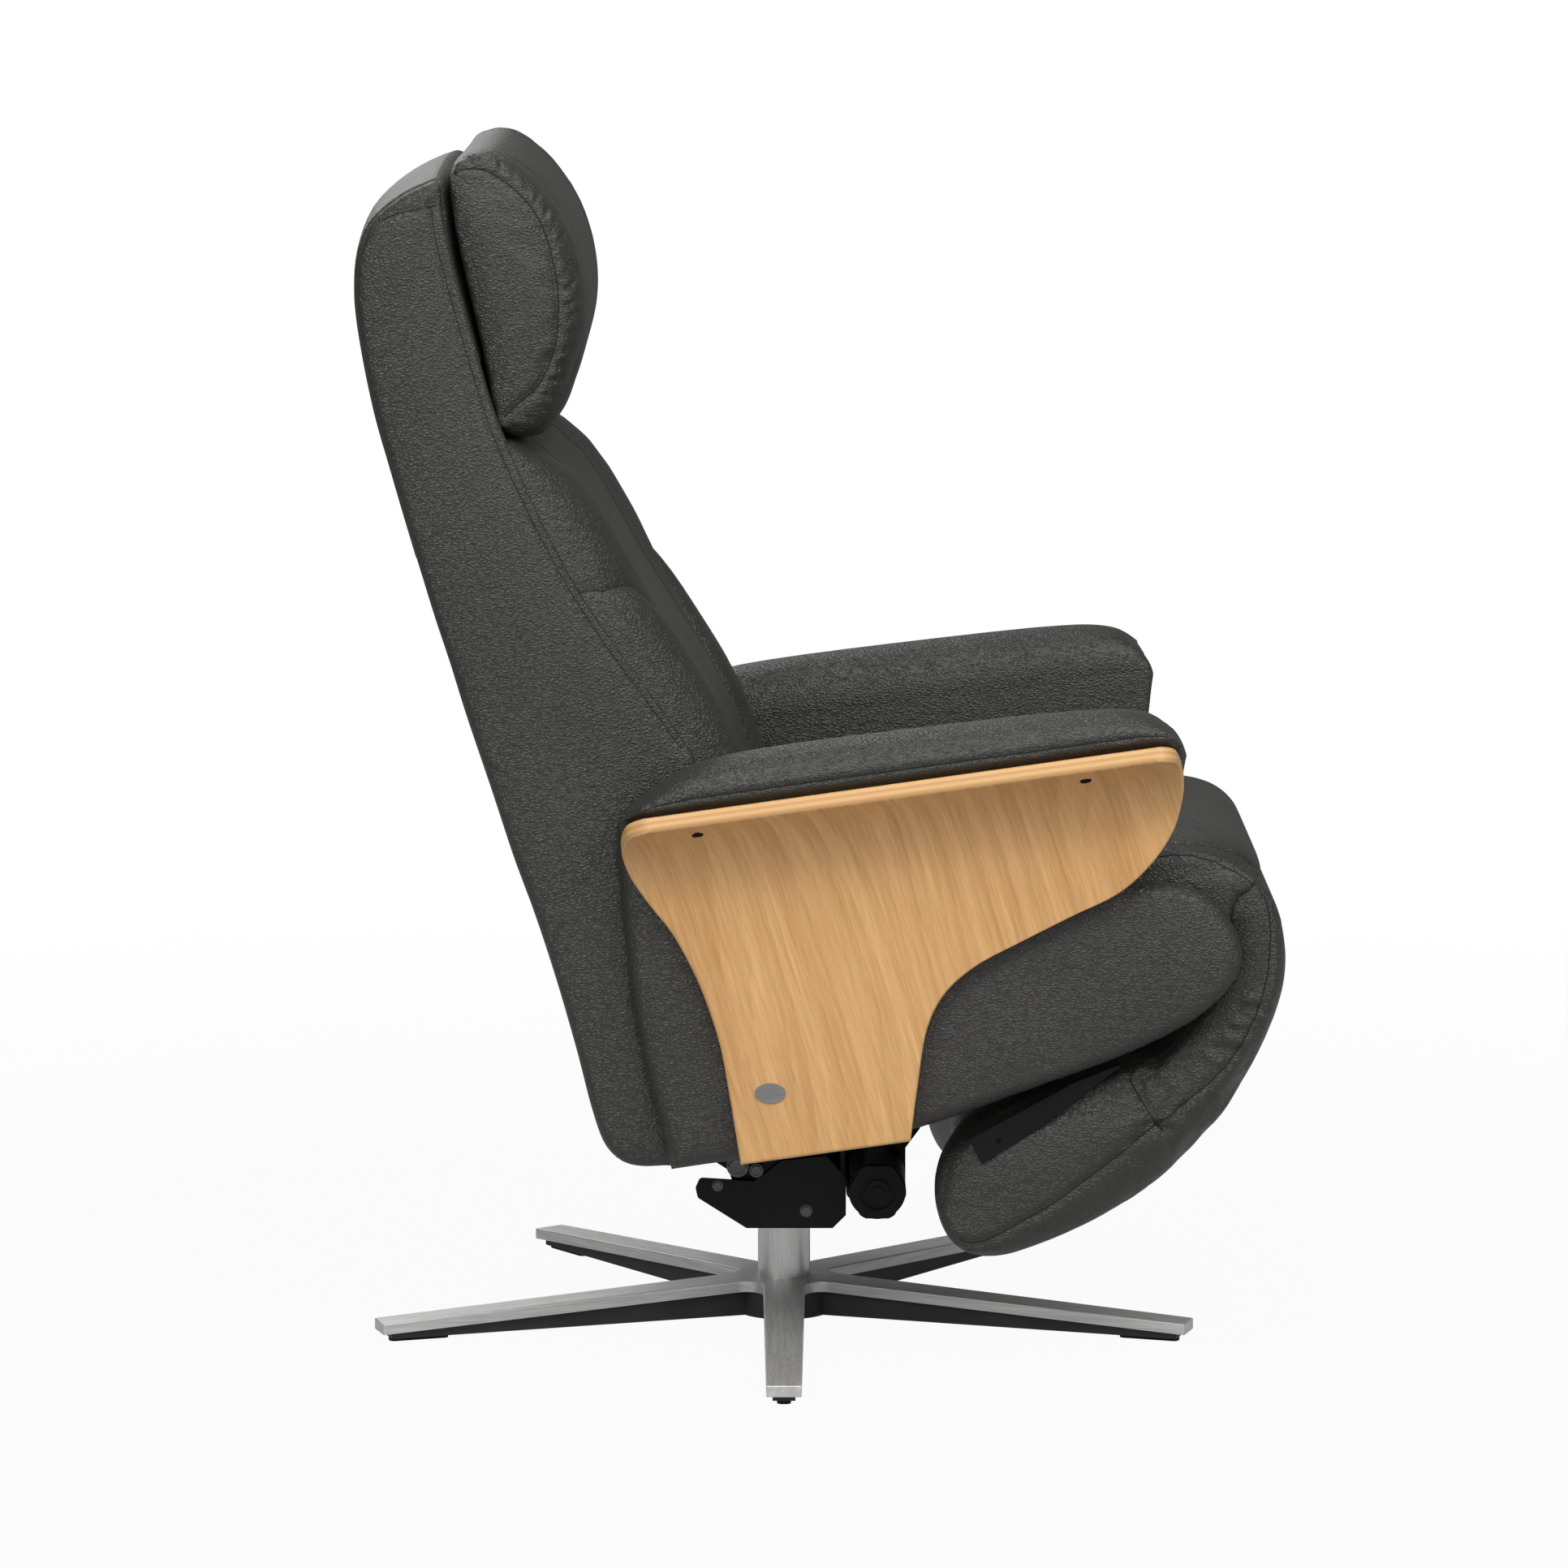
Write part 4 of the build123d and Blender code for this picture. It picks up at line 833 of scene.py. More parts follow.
def stuff(piece: Piece, stuffing: Stuffing, held: Callable[[Array], Array]) -> None:
    """Even out a piece's mesh, swell it as stuffed cloth, and divide it once.

    Args:
        piece: Closed piece to fill.
        stuffing: How it is filled.
        held: Share from 0 to 1 by which each point, in millimetres, is held in place.
    """
    remesh = piece.modifiers.new("even", "REMESH")
    remesh.mode = "VOXEL"
    remesh.voxel_size = stuffing.voxel * MM
    ease = piece.modifiers.new("ease", "SMOOTH")
    ease.factor = 0.5
    ease.iterations = stuffing.relax
    apply_modifiers(piece)
    swell(piece, stuffing, held)
    divide = piece.modifiers.new("divide", "SUBSURF")
    divide.levels = divide.render_levels = 1
    apply_modifiers(piece)


def swell(piece: Piece, stuffing: Stuffing, held: Callable[[Array], Array]) -> None:
    """Swell a piece's skin by cloth with pressure inside, and cap how far each point moves.

    Args:
        piece: Closed piece to fill.
        stuffing: How it is filled.
        held: Share by which each point is held in place.
    """
    mesh = piece.data
    before = mesh_points(mesh)
    weights = held(before)
    group = piece.vertex_groups.new(name="held")
    for level in np.unique(np.round(weights, 1)):
        group.add(np.flatnonzero(np.round(weights, 1) == level).tolist(), float(level), "REPLACE")
    cloth = piece.modifiers.new("stuffing", "CLOTH")
    cloth.settings.quality = stuffing.quality
    cloth.settings.mass = stuffing.mass
    cloth.settings.use_pressure = True
    cloth.settings.uniform_pressure_force = stuffing.pressure
    cloth.settings.effector_weights.gravity = 0.0
    cloth.settings.vertex_group_mass = group.name
    cloth.collision_settings.use_collision = False
    cloth.point_cache.frame_start = 1
    cloth.point_cache.frame_end = stuffing.frames
    scene = bpy.context.scene
    for number in range(1, stuffing.frames + 1):
        scene.frame_set(number)
    graph = bpy.context.evaluated_depsgraph_get()
    after = mesh_points(piece.evaluated_get(graph).data)
    piece.modifiers.clear()
    piece.vertex_groups.clear()
    scene.frame_set(1)
    move = after - before
    size = np.linalg.norm(move, axis=1, keepdims=True)
    move *= stuffing.cap * np.tanh(size / stuffing.cap) / np.maximum(size, TINY)
    write_points(mesh, before + move * (1 - weights[:, None]))


class Skin:
    """A padded piece's surface while its seams and gathers are worked in."""

    def __init__(self, piece: Piece) -> None:
        """Read the piece's points and normals."""
        self.piece = piece
        self.points = mesh_points(piece.data)
        normals = np.empty(len(self.points) * 3, np.float32)
        piece.data.vertices.foreach_get("normal", normals)
        self.normals = normals.reshape(-1, 3).astype(float)
        self.seams: List[Tuple[Array, Faces]] = []
        self.threads: List[Tuple[Array, Faces]] = []

    def near(self, path: Array, limit: float) -> Tuple[Array, Array, Array]:
        """Points within a limit of a path.

        Args:
            path: Samples of the path.
            limit: Furthest distance.

        Returns:
            Their indices, their distances and the nearest samples.
        """
        index = self.around(path, limit)
        distance, sample = nearest_on(self.points[index], path)
        close = distance < limit
        return index[close], distance[close], sample[close]

    def around(self, path: Array, margin: float) -> Array:
        """Indices of the points in a path's box, widened by a margin."""
        inside = (self.points > path.min(0) - margin) & (self.points < path.max(0) + margin)
        return np.flatnonzero(np.all(inside, axis=1))

    def settle(self, path: Array, margin: float = 40.0, window: int = 5) -> Tuple[Array, Array]:
        """Lay a path on the skin.

        Args:
            path: Samples of the path, near the skin.
            margin: How far from the path's box the skin is looked for.
            window: Number of samples over which normals and heights are averaged.

        Returns:
            The path on the skin, and the skin's normals along it.
        """
        index = self.around(path, margin)
        _, pick = nearest_on(path, self.points[index])
        at, normal = self.points[index[pick]], self.normals[index[pick]]
        kernel = np.ones(window) / window
        pad = window // 2
        padded = np.pad(normal, ((pad, pad), (0, 0)), mode="edge")
        normal = unit(np.stack([np.convolve(padded[:, k], kernel, mode="valid") for k in range(3)], axis=1))
        height = ((at - path) * normal).sum(1)
        height = np.convolve(np.pad(height, pad, mode="edge"), kernel, mode="valid")
        return path + normal * height[:, None], normal

    def press(self, path: Array, depth: float, width: float) -> None:
        """Sink a rounded valley along a path: a bell curve of the distance to it."""
        index, distance, _ = self.near(path, 3 * width)
        self.points[index] -= self.normals[index] * (depth * np.exp(-((distance / width) ** 2)))[:, None]

    def gather(self, path: Array, height: float, pitch: float, reach: float, toward: Triple, seed: int) -> None:
        """Pucker the skin beside a seam: waves along it that fade with the distance from it.

        Args:
            path: The seam.
            height: Height of the puckers.
            pitch: Mean distance between them.
            reach: How far they run out from the seam.
            toward: Direction to the side that puckers.
            seed: Seed of their irregular spacing.
        """
        index, distance, sample = self.near(path, 2.2 * reach)
        arc = arc_lengths(path)[sample]
        draw = np.random.default_rng(seed)
        wave = np.zeros(len(index))
        for scale, share in ((1.0, 0.55), (1.7, 0.35), (0.6, 0.25)):
            lean = draw.uniform(-0.6, 0.6)
            phase = draw.uniform(0, 2 * math.pi)
            wave += share * np.sin(2 * math.pi * (arc / scale + lean * distance) / pitch + phase)
        swing = 0.6 + 0.4 * np.sin(2 * math.pi * arc / (pitch * 5.3) + draw.uniform(0, 6))
        fade = np.exp(-((distance / reach) ** 2)) * np.clip(distance / 5.0, 0, 1)
        fade *= np.clip(((self.points[index] - path[sample]) @ np.array(toward)) / 6.0, 0, 1)
        self.points[index] += self.normals[index] * (height * wave * swing * fade)[:, None]

    def seam(self, path: Array, depth: float, width: float, cord: float) -> None:
        """Sew a seam: a valley with a fine dark tube at its foot, painted shade in the seam's groove.

        Args:
            path: Line of the seam.
            depth: Depth of the valley.
            width: Half width of the valley.
            cord: Radius of the dark tube of painted shade.
        """
        laid, normal = self.settle(path)
        self.press(laid, depth, width)
        self.seams.append(tube_mesh(laid - normal * (depth + 0.15 * cord), normal, cord))

    def stitches(self, path: Array, offset: float, radius: float = 0.55, length: float = 4.4,
                 pitch: float = 6.0) -> None:
        """Lay a row of stitches on each side of a path: short capsules that dip into the skin at their ends.

        Args:
            path: Line that the rows follow.
            offset: Distance of each row from the line.
            radius: Radius of the thread.
            length: Length of a stitch.
            pitch: Distance between stitches.
        """
        laid, normal = self.settle(path)
        arc = arc_lengths(laid)
        centre = np.arange(pitch, arc[-1] - pitch, pitch)
        slopes = np.gradient(laid, arc, axis=0)
        at, up, along = (np.stack([np.interp(centre, arc, rows[:, k]) for k in range(3)], axis=1)
                         for rows in (laid, normal, slopes))
        along = unit(along)
        across = np.cross(up, along)
        rows, sides = 5, 6
        t = np.linspace(-1, 1, rows)[:, None]
        turn = np.linspace(0, 2 * math.pi, sides, endpoint=False)[None, :]
        girth = radius * np.sqrt(np.maximum(1.02 - t**2, 0.02))
        capsule = ((t * length / 2 + 0 * turn, along), (girth * np.cos(turn), across),
                   (girth * np.sin(turn) + radius * (0.75 - 1.25 * t**2), up))
        shape = sum(part.ravel()[None, :, None] * axis[:, None] for part, axis in capsule)
        step = (np.arange(len(at)) * rows * sides)[:, None, None]
        faces = (grid_quads(rows, sides, True)[None] + step).reshape(-1, 4).tolist()
        for shift in (-offset, offset):
            self.threads.append(((shape + (at + across * shift)[:, None]).reshape(-1, 3), faces))

    def commit(self) -> None:
        """Store the worked points."""
        write_points(self.piece.data, self.points)

    def trim(self, finishes: Finishes) -> List[Piece]:
        """Make the seams' dark tubes of painted shade and the stitches as pieces of their own.

        Args:
            finishes: The chair's finishes.

        Returns:
            The pieces that go with the skin.
        """
        made = []
        trims = (("seams", self.seams, finishes.seam), ("stitches", self.threads, finishes.thread))
        for label, groups, material in trims:
            if groups:
                piece = make_piece(f"{self.piece.name}_{label}", *joined(groups))
                piece.data.materials.append(material)
                made.append(piece)
        return made


def upright(flat: Array, y: float) -> Array:
    """Places in side view set at one Y."""
    return np.stack([flat[:, 0], np.full(len(flat), y), flat[:, 1]], axis=1)


def in_plane(keys: Keys, y: float, count: int) -> Array:
    """Smooth path through side-view keys, at one Y."""
    return upright(curve(keys, count), y)


@dataclass
class Upholstered:
    """Base of every padded sub-assembly: dresses its pieces and says what they ride on."""

    finishes: Finishes

    def dress(self, piece: Piece) -> None:
        """Give a piece leather, unless it has a finish of its own, and log it.

        Args:
            piece: The piece.
        """
        if not piece.data.materials:
            piece.data.materials.append(self.finishes.leather)
        report(piece)

    def place(self, pieces: Sequence[Piece], body: Body, node: str, fill: float) -> None:
        """Dress pieces, ride them on a body and hide the node that the first stands for.

        Args:
            pieces: The pieces, the padded one first.
            body: Body that they ride on.
            node: Node that the first piece replaces.
            fill: Tightness of the first piece; not used.
        """
        for piece in pieces:
            self.dress(piece)
            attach(piece, body.value)
        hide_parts(node)


def report(piece: Piece) -> None:
    """Log a finished piece."""
    log.info("%s, %d faces", piece.name, len(piece.data.polygons))


def rounded_rim(radius: float, half: float) -> Callable[[Array], Array]:
    """Share of a pillow's end shape across its half width, for a rim rounded to a radius."""
    return lambda t: fall(1 - t, 1.0, radius / half)


def lofted(name: str, half: float, middle: Keys, end: Keys, weigh: Callable[[Array], Array],
           stations: int = 33, per_key: int = 6, bow: float = 0.0) -> Piece:
    """Pillow across the chair: the outline goes from its middle shape to its end shape.

    Args:
        name: Name of the piece.
        half: Half width.
        middle: Side-view keys of the outline in the middle.
        end: Keys of the outline at each end.
        weigh: Share of the end shape, from the share of the half width.
        stations: Number of outlines.
        per_key: Samples between keys.
        bow: How far the end faces stand out in their middle.

    Returns:
        The closed piece.
    """
    share = np.sin(np.linspace(-math.pi / 2, math.pi / 2, stations))
    weight = weigh(np.abs(share))
    a, b = catmull(middle, per_key, True), catmull(end, per_key, True)
    flat = a[None] * (1 - weight[:, None, None]) + b[None] * weight[:, None, None]
    y = np.repeat((share * half)[:, None], flat.shape[1], axis=1)
    rings = np.stack([flat[..., 0], y, flat[..., 1]], axis=-1)
    if bow:
        heart = b.mean(0)
        shrink = np.array([0.75, 0.4])[:, None, None]
        inner = heart + (b - heart)[None] * shrink
        rise = half + bow * np.array([0.6, 1.0])
        left = np.stack([inner[..., 0], np.repeat(rise[:, None], len(b), 1), inner[..., 1]], axis=-1)
        right = left[::-1] * np.array([1, -1, 1])
        rings = np.concatenate([right, rings, left])
    return loft(name, rings)


# Sub-assemblies


@dataclass
class Headrest(Upholstered):
    """Thick pillow with a flat D-shaped gusset at each end."""

    half: float = 237.0
    rim: float = 42.0
    bow: float = 3.0
    line_y: float = 168.0
    middle: Keys = (
        (-251, 844), (-239, 831), (-214, 828), (-197, 846), (-184, 886), (-175, 926), (-176, 962),
        (-187, 1004), (-204, 1036), (-227, 1064), (-252, 1080), (-276, 1078), (-290, 1064), (-288, 1025),
        (-279, 978), (-263, 907))
    end: Keys = (
        (-252, 843), (-244, 840), (-231, 856), (-217, 871), (-205, 892), (-197, 918), (-196, 962),
        (-205, 1004), (-216, 1028), (-232, 1046), (-257, 1063), (-275, 1066), (-289, 1062), (-288, 1025),
        (-279, 978), (-263, 907))
    gusset: Keys = (
        (-244, 849), (-229, 863), (-216, 874), (-205, 892), (-197, 918), (-196, 962), (-205, 1004),
        (-216, 1028), (-232, 1046), (-257, 1063), (-275, 1066), (-289, 1062))
    line: Keys = (
        (-203, 880), (-184, 925), (-184, 962), (-196, 1005), (-214, 1036), (-240, 1066), (-262, 1077))
    pucker: Triple = (0.35, 1.0, 0.0)

    def held(self, points: Array) -> Array:
        """Share by which points are held: the rear face, which leans back."""
        return smooth((-236 - 0.22 * (points[:, 2] - 850) - points[:, 0]) / 10)

    def build(self) -> None:
        """Loft, fill and sew the pillow."""
        weigh = rounded_rim(self.rim, self.half)
        piece = lofted("headrest_pillow", self.half, self.middle, self.end, weigh, stations=49, bow=self.bow)
        stuff(piece, Stuffing(5.0, cap=2.5, relax=2), self.held)
        skin = Skin(piece)
        for side in Side:
            path = in_plane(self.gusset, side.value * self.half, 150)
            toward = np.array(self.pucker) * (1, -side.value, 1)
            skin.gather(skin.settle(path)[0], 2.6, 13.0, 24.0, toward / np.linalg.norm(toward), seed=3)
            skin.seam(path, 2.4, 4.2, 0.8)
            top = in_plane(self.line, side.value * self.line_y, 110)
            skin.seam(top, 1.4, 4.0, 0.6)
            skin.stitches(top, 3.6)
        skin.commit()
        self.place([piece, *skin.trim(self.finishes)], Body.HEADREST, "headrest_cushion", 0.8)


BACK_FRONT_EDGE: Keys = (
    (-90, 190), (-82, 240), (-88, 330), (-94, 400), (-90, 470), (-77, 540), (-93, 571), (-118, 608),
    (-146, 647), (-178, 695), (-197, 729), (-213, 761), (-229, 797), (-244, 832), (-255, 862), (-272, 924),
    (-287, 980), (-297, 1031), (-298, 1050))


def behind_front_edge(points: Array) -> Array:
    """Share by which points are held: all of it behind the front edge of the back's sides, none before it."""
    x, z = np.array(BACK_FRONT_EDGE[5:], float).T
    return smooth((np.interp(points[:, 2], z, x) + 3 - points[:, 0]) / 9)


@dataclass
class BackCushions(Upholstered):
    """Upper cushion whose middle panel runs down between the lumbar cushion's bolsters."""

    half: float = 247.5
    depth: float = 52.0
    panel_skin: float = 20.0
    shoulder: float = 34.0
    upper_sink: float = 8.0
    lumbar_sink: float = 11.0
    lap: float = 8.0
    bridge: float = 480.0
    top: float = 828.0
    low: float = 428.0
    line_y: float = 122.0
    line: Tuple[float, float] = (818.0, 560.0)
    stuffing: Stuffing = Stuffing(5.0, cap=2.0, relax=3)
    shares: Tuple[float, ...] = (
        0.0, 0.25, 0.42, 0.52, 0.56, 0.58, 0.592, 0.604, 0.625, 0.65, 0.68, 0.73, 0.78, 0.85, 0.9, 0.94, 0.97, 1.0)
    upper_fill: Keys = (
        (0.0, 0.78), (0.3, 0.785), (0.5, 0.80), (0.58, 0.83), (0.65, 0.92), (0.72, 0.98), (0.8, 0.96),
        (0.87, 0.86), (0.93, 0.66), (0.97, 0.40), (1.0, -0.06))
    lumbar_fill: Keys = (
        (0.0, 0.5), (0.5, 0.52), (0.575, 0.66), (0.6, 0.86), (0.68, 0.98), (0.78, 1.03), (0.85, 0.97),
        (0.9, 0.84), (0.95, 0.56), (0.98, 0.26), (1.0, -0.06))
    panel_edge: Keys = (
        (0.0, 428), (0.575, 428), (0.592, 470), (0.603, 545), (0.625, 598), (0.68, 642), (0.775, 678),
        (0.85, 692), (1.0, 692))
    face: Keys = (
        (-250, 832), (-244, 824), (-237, 810), (-228, 791), (-213, 763), (-194, 730), (-173, 692),
        (-152, 658), (-132, 626), (-109, 588), (-90, 548), (-71, 497), (-56, 462), (-44, 428))
    rounding: Keys = ((824, 0.30), (810, 0.68), (791, 0.88), (763, 0.98), (428, 1.0))

    def profile(self, height: Array, depth: Array) -> Array:
        """Front face: the panels' line, pushed forward by a depth that fades at the top.

        Args:
            height: Heights.
            depth: How far the face stands out.

        Returns:
            X of the face.
        """
        x, z = catmull(self.face, 8, False)[::-1].T
        share_z, share = np.array(self.rounding[::-1], float).T
        return np.interp(height, z, x) + depth * np.interp(height, share_z, share)

    def ring(self, top: float, low: float, depth: float, sinks: Tuple[float, float]) -> Array:
        """Closed side outline: down the front face, drawn in at its top and low ends, and back up behind it.

        Args:
            top: Height of the upper end.
            low: Height of the lower end.
            depth: How far the face stands out before the panels' line.
            sinks: How far the face is drawn in at the upper and at the lower end.

        Returns:
            The outline in side view.
        """
        down = np.linspace(top, low, 70)
        drawn = fall(top - down, sinks[0], self.shoulder) + fall(down - low, sinks[1], self.shoulder)
        front = np.stack([self.profile(down, depth - drawn), down], axis=1)
        rear_x = np.minimum(self.profile(down, 0.0) - 6.0, front[:, 0] - self.panel_skin)
        rear = np.stack([rear_x, down], axis=1)[::-1]
        return np.concatenate([front, rear])

    def spread(self) -> Array:
        """Stations across the chair, as shares of the half width."""
        return np.concatenate([-np.array(self.shares[:0:-1]), self.shares])

    def across(self, keys: Keys) -> Array:
        """Value at each station, from keys over the share of the half width."""
        return np.interp(np.abs(self.spread()), *np.array(keys, float).T)

    def rings(self, outlines: Sequence[Array]) -> Array:
        """Outlines set across the chair.

        Args:
            outlines: Side-view outline at each station.

        Returns:
            The rings.
        """
        flat = np.stack(outlines)
        y = np.repeat((self.spread() * self.half)[:, None], flat.shape[1], axis=1)
        return np.stack([flat[..., 0], y, flat[..., 1]], axis=-1)

    def upper(self) -> None:
        """Upper cushion with its middle panel and two double-stitched lines."""
        fills, lows = self.across(self.upper_fill) * self.depth, self.across(self.panel_edge)
        rows = [self.ring(self.top, low, fill, (0.0, self.upper_sink)) for fill, low in zip(fills, lows)]
        piece = loft("upper_back_pad", self.rings(rows))
        stuff(piece, self.stuffing, behind_front_edge)
        skin = Skin(piece)
        for side in Side:
            height = np.linspace(*self.line, 150)
            line = self.profile(height, 0.8 * self.depth)
            path = np.stack([line, np.full(150, side.value * self.line_y), height], axis=1)
            skin.seam(path, 2.4, 4.5, 1.1)
            skin.stitches(path, 3.8, radius=0.9)
        skin.commit()
        self.place([piece, *skin.trim(self.finishes)], Body.BACK, "upper_back_cushion", 0.75)

    def lumbar(self) -> None:
        """Lumbar cushion: two bolsters joined behind the middle panel, with a dark tube of painted shade along
        each shoulder seam.
        """
        fills = self.across(self.lumbar_fill) * self.depth
        tops = np.maximum(self.across(self.panel_edge), self.bridge) + self.lap
        rows = [self.ring(top, self.low, fill, (self.lumbar_sink, 0.0)) for fill, top in zip(fills, tops)]
        piece = loft("lumbar_pad", self.rings(rows))
        stuff(piece, self.stuffing, behind_front_edge)
        skin = Skin(piece)
        share, height = even(catmull(self.panel_edge[4:], 12, False)[::-1] * (self.half, 1.0), 120).T
        fill = np.interp(share / self.half, *np.array(self.lumbar_fill, float).T) * self.depth - self.lumbar_sink
        # A dark tube along each panel edge, with no valley under it: painted shade in the crease between bolster
        # and middle panel.
        for side in Side:
            path = np.stack([self.profile(height, fill), side.value * share, height], axis=1)
            skin.seams.append(tube_mesh(path, np.tile((0.9, 0.0, 0.44), (len(path), 1)), 1.3))
        self.place([piece, *skin.trim(self.finishes)], Body.BACK, "lumbar_cushion", 0.75)

    def build(self) -> None:
        """Make both cushions."""
        self.upper()
        self.lumbar()


@dataclass
class BackShell(Upholstered):
    """Upholstered sides and rear covers of the back."""

    inner: float = 236.0
    outer: float = 258.0
    crown: float = 9.0
    crown_reach: float = 62.0
    rim_rear: float = 8.0
    rim_front: float = 2.5
    gap: float = 0.6
    rear: Keys = (
        (-104, 186), (-126, 185), (-142, 189), (-154, 199), (-162, 213), (-171, 242), (-182, 286),
        (-194, 329), (-207, 373), (-221, 416), (-237, 460), (-251, 503), (-265, 546), (-279, 589),
        (-292, 632), (-306, 675), (-319, 718), (-331, 760), (-343, 803), (-355, 846), (-364, 888),
        (-371, 931), (-373, 959), (-371, 987), (-362, 1014), (-348, 1030), (-328, 1044), (-303, 1055))
    hem: Keys = (
        (-88, 560), (-126, 612), (-155, 652), (-187, 702), (-222, 768), (-253, 838), (-281, 928),
        (-300, 1000), (-304, 1030))
    cap: Keys = ((-356, 1024), (-340, 1027), (-320, 1031), (-300, 1034))
    under: Keys = ((-146, 207), (-155, 212), (-164, 226))
    over: Keys = ((-297, 1052), (-296, 1034), (-290, 990), (-279, 945), (-264, 892))

    def side(self, side: Side) -> None:
        """One side panel: a ladder between its rear and front edges, rounded towards the rim and crowned.

        Args:
            side: Side of the chair.
        """
        rows = 150
        rear = even(catmull(self.rear, 12, False), rows)
        front = even(catmull(BACK_FRONT_EDGE, 12, False), rows)
        share = eased(64)[None, :, None]
        flat = rear[:, None] * (1 - share) + front[:, None] * share
        points = flat.reshape(-1, 2)
        from_rear, _ = nearest_on(points, even(rear, 900))
        from_front, _ = nearest_on(points, even(front, 900))
        crown = fall(np.minimum(from_rear, from_front), self.crown, self.crown_reach)
        y = self.outer - crown - rounded_drop(from_rear, self.rim_rear) - rounded_drop(from_front, self.rim_front)
        label = f"back_side_{side.name.lower()}"
        piece = side_slab(f"{label}_panel", side, flat, np.maximum(y, self.inner + 2.0), self.inner)
        skin = Skin(piece)
        skin.seam(in_plane(self.hem, side.value * self.outer, 260), 1.6, 3.4, 0.55)
        skin.seam(in_plane(self.cap, side.value * self.outer, 60), 2.0, 3.6, 0.7)
        skin.commit()
        self.place([piece, *skin.trim(self.finishes)], Body.BACK, label, 0.6)

    def cover(self, name: str, node: str, keys: Keys, thickness: float, proud: float, crown: float = 7.0) -> None:
        """A rear cover: a sheet carried along the side's outline, crowned across, with a rolled edge.

        Args:
            name: Name of the piece.
            node: Node that it replaces.
            keys: Side-view path of its outer face.
            thickness: Thickness of the padding.
            proud: How far it stands out from the path.
            crown: How far its middle stands out further.
        """
        rows, cols = 120, 72
        path = even(catmull(keys, 12, False), rows, eased(rows))
        along = unit(np.gradient(path, axis=0))
        out = np.stack([-along[:, 1], along[:, 0]], axis=1)
        share = 2 * eased(cols) - 1
        half = self.inner - self.gap
        length = arc_lengths(path)
        from_end = np.minimum(length, length[-1] - length)[:, None]
        from_side = ((1 - np.abs(share)) * half)[None, :]
        lift = proud + crown * (1 - share[None, :] ** 2) * smooth(from_end / 80)
        lift = lift - rounded_drop(from_end, 9.0) - rounded_drop(from_side, 6.0)
        grids = []
        for offset in (lift, np.full_like(lift, -thickness)):
            flat = path[:, None] + out[:, None] * offset[..., None]
            grids.append(np.stack([flat[..., 0], np.tile(share * half, (rows, 1)), flat[..., 1]], axis=-1))
        self.place([slab(name, *grids)], Body.BACK, node, 0.6)

    def build(self) -> None:
        """Make both sides and both rear covers."""
        for side in Side:
            self.side(side)
        self.cover("lower_rear_cover", "rear_cover_lower", self.under + self.rear[5:17], 18.0, 0.5)
        self.cover("upper_rear_cover", "rear_cover_upper", self.rear[16:] + self.over, 16.0, 1.5)


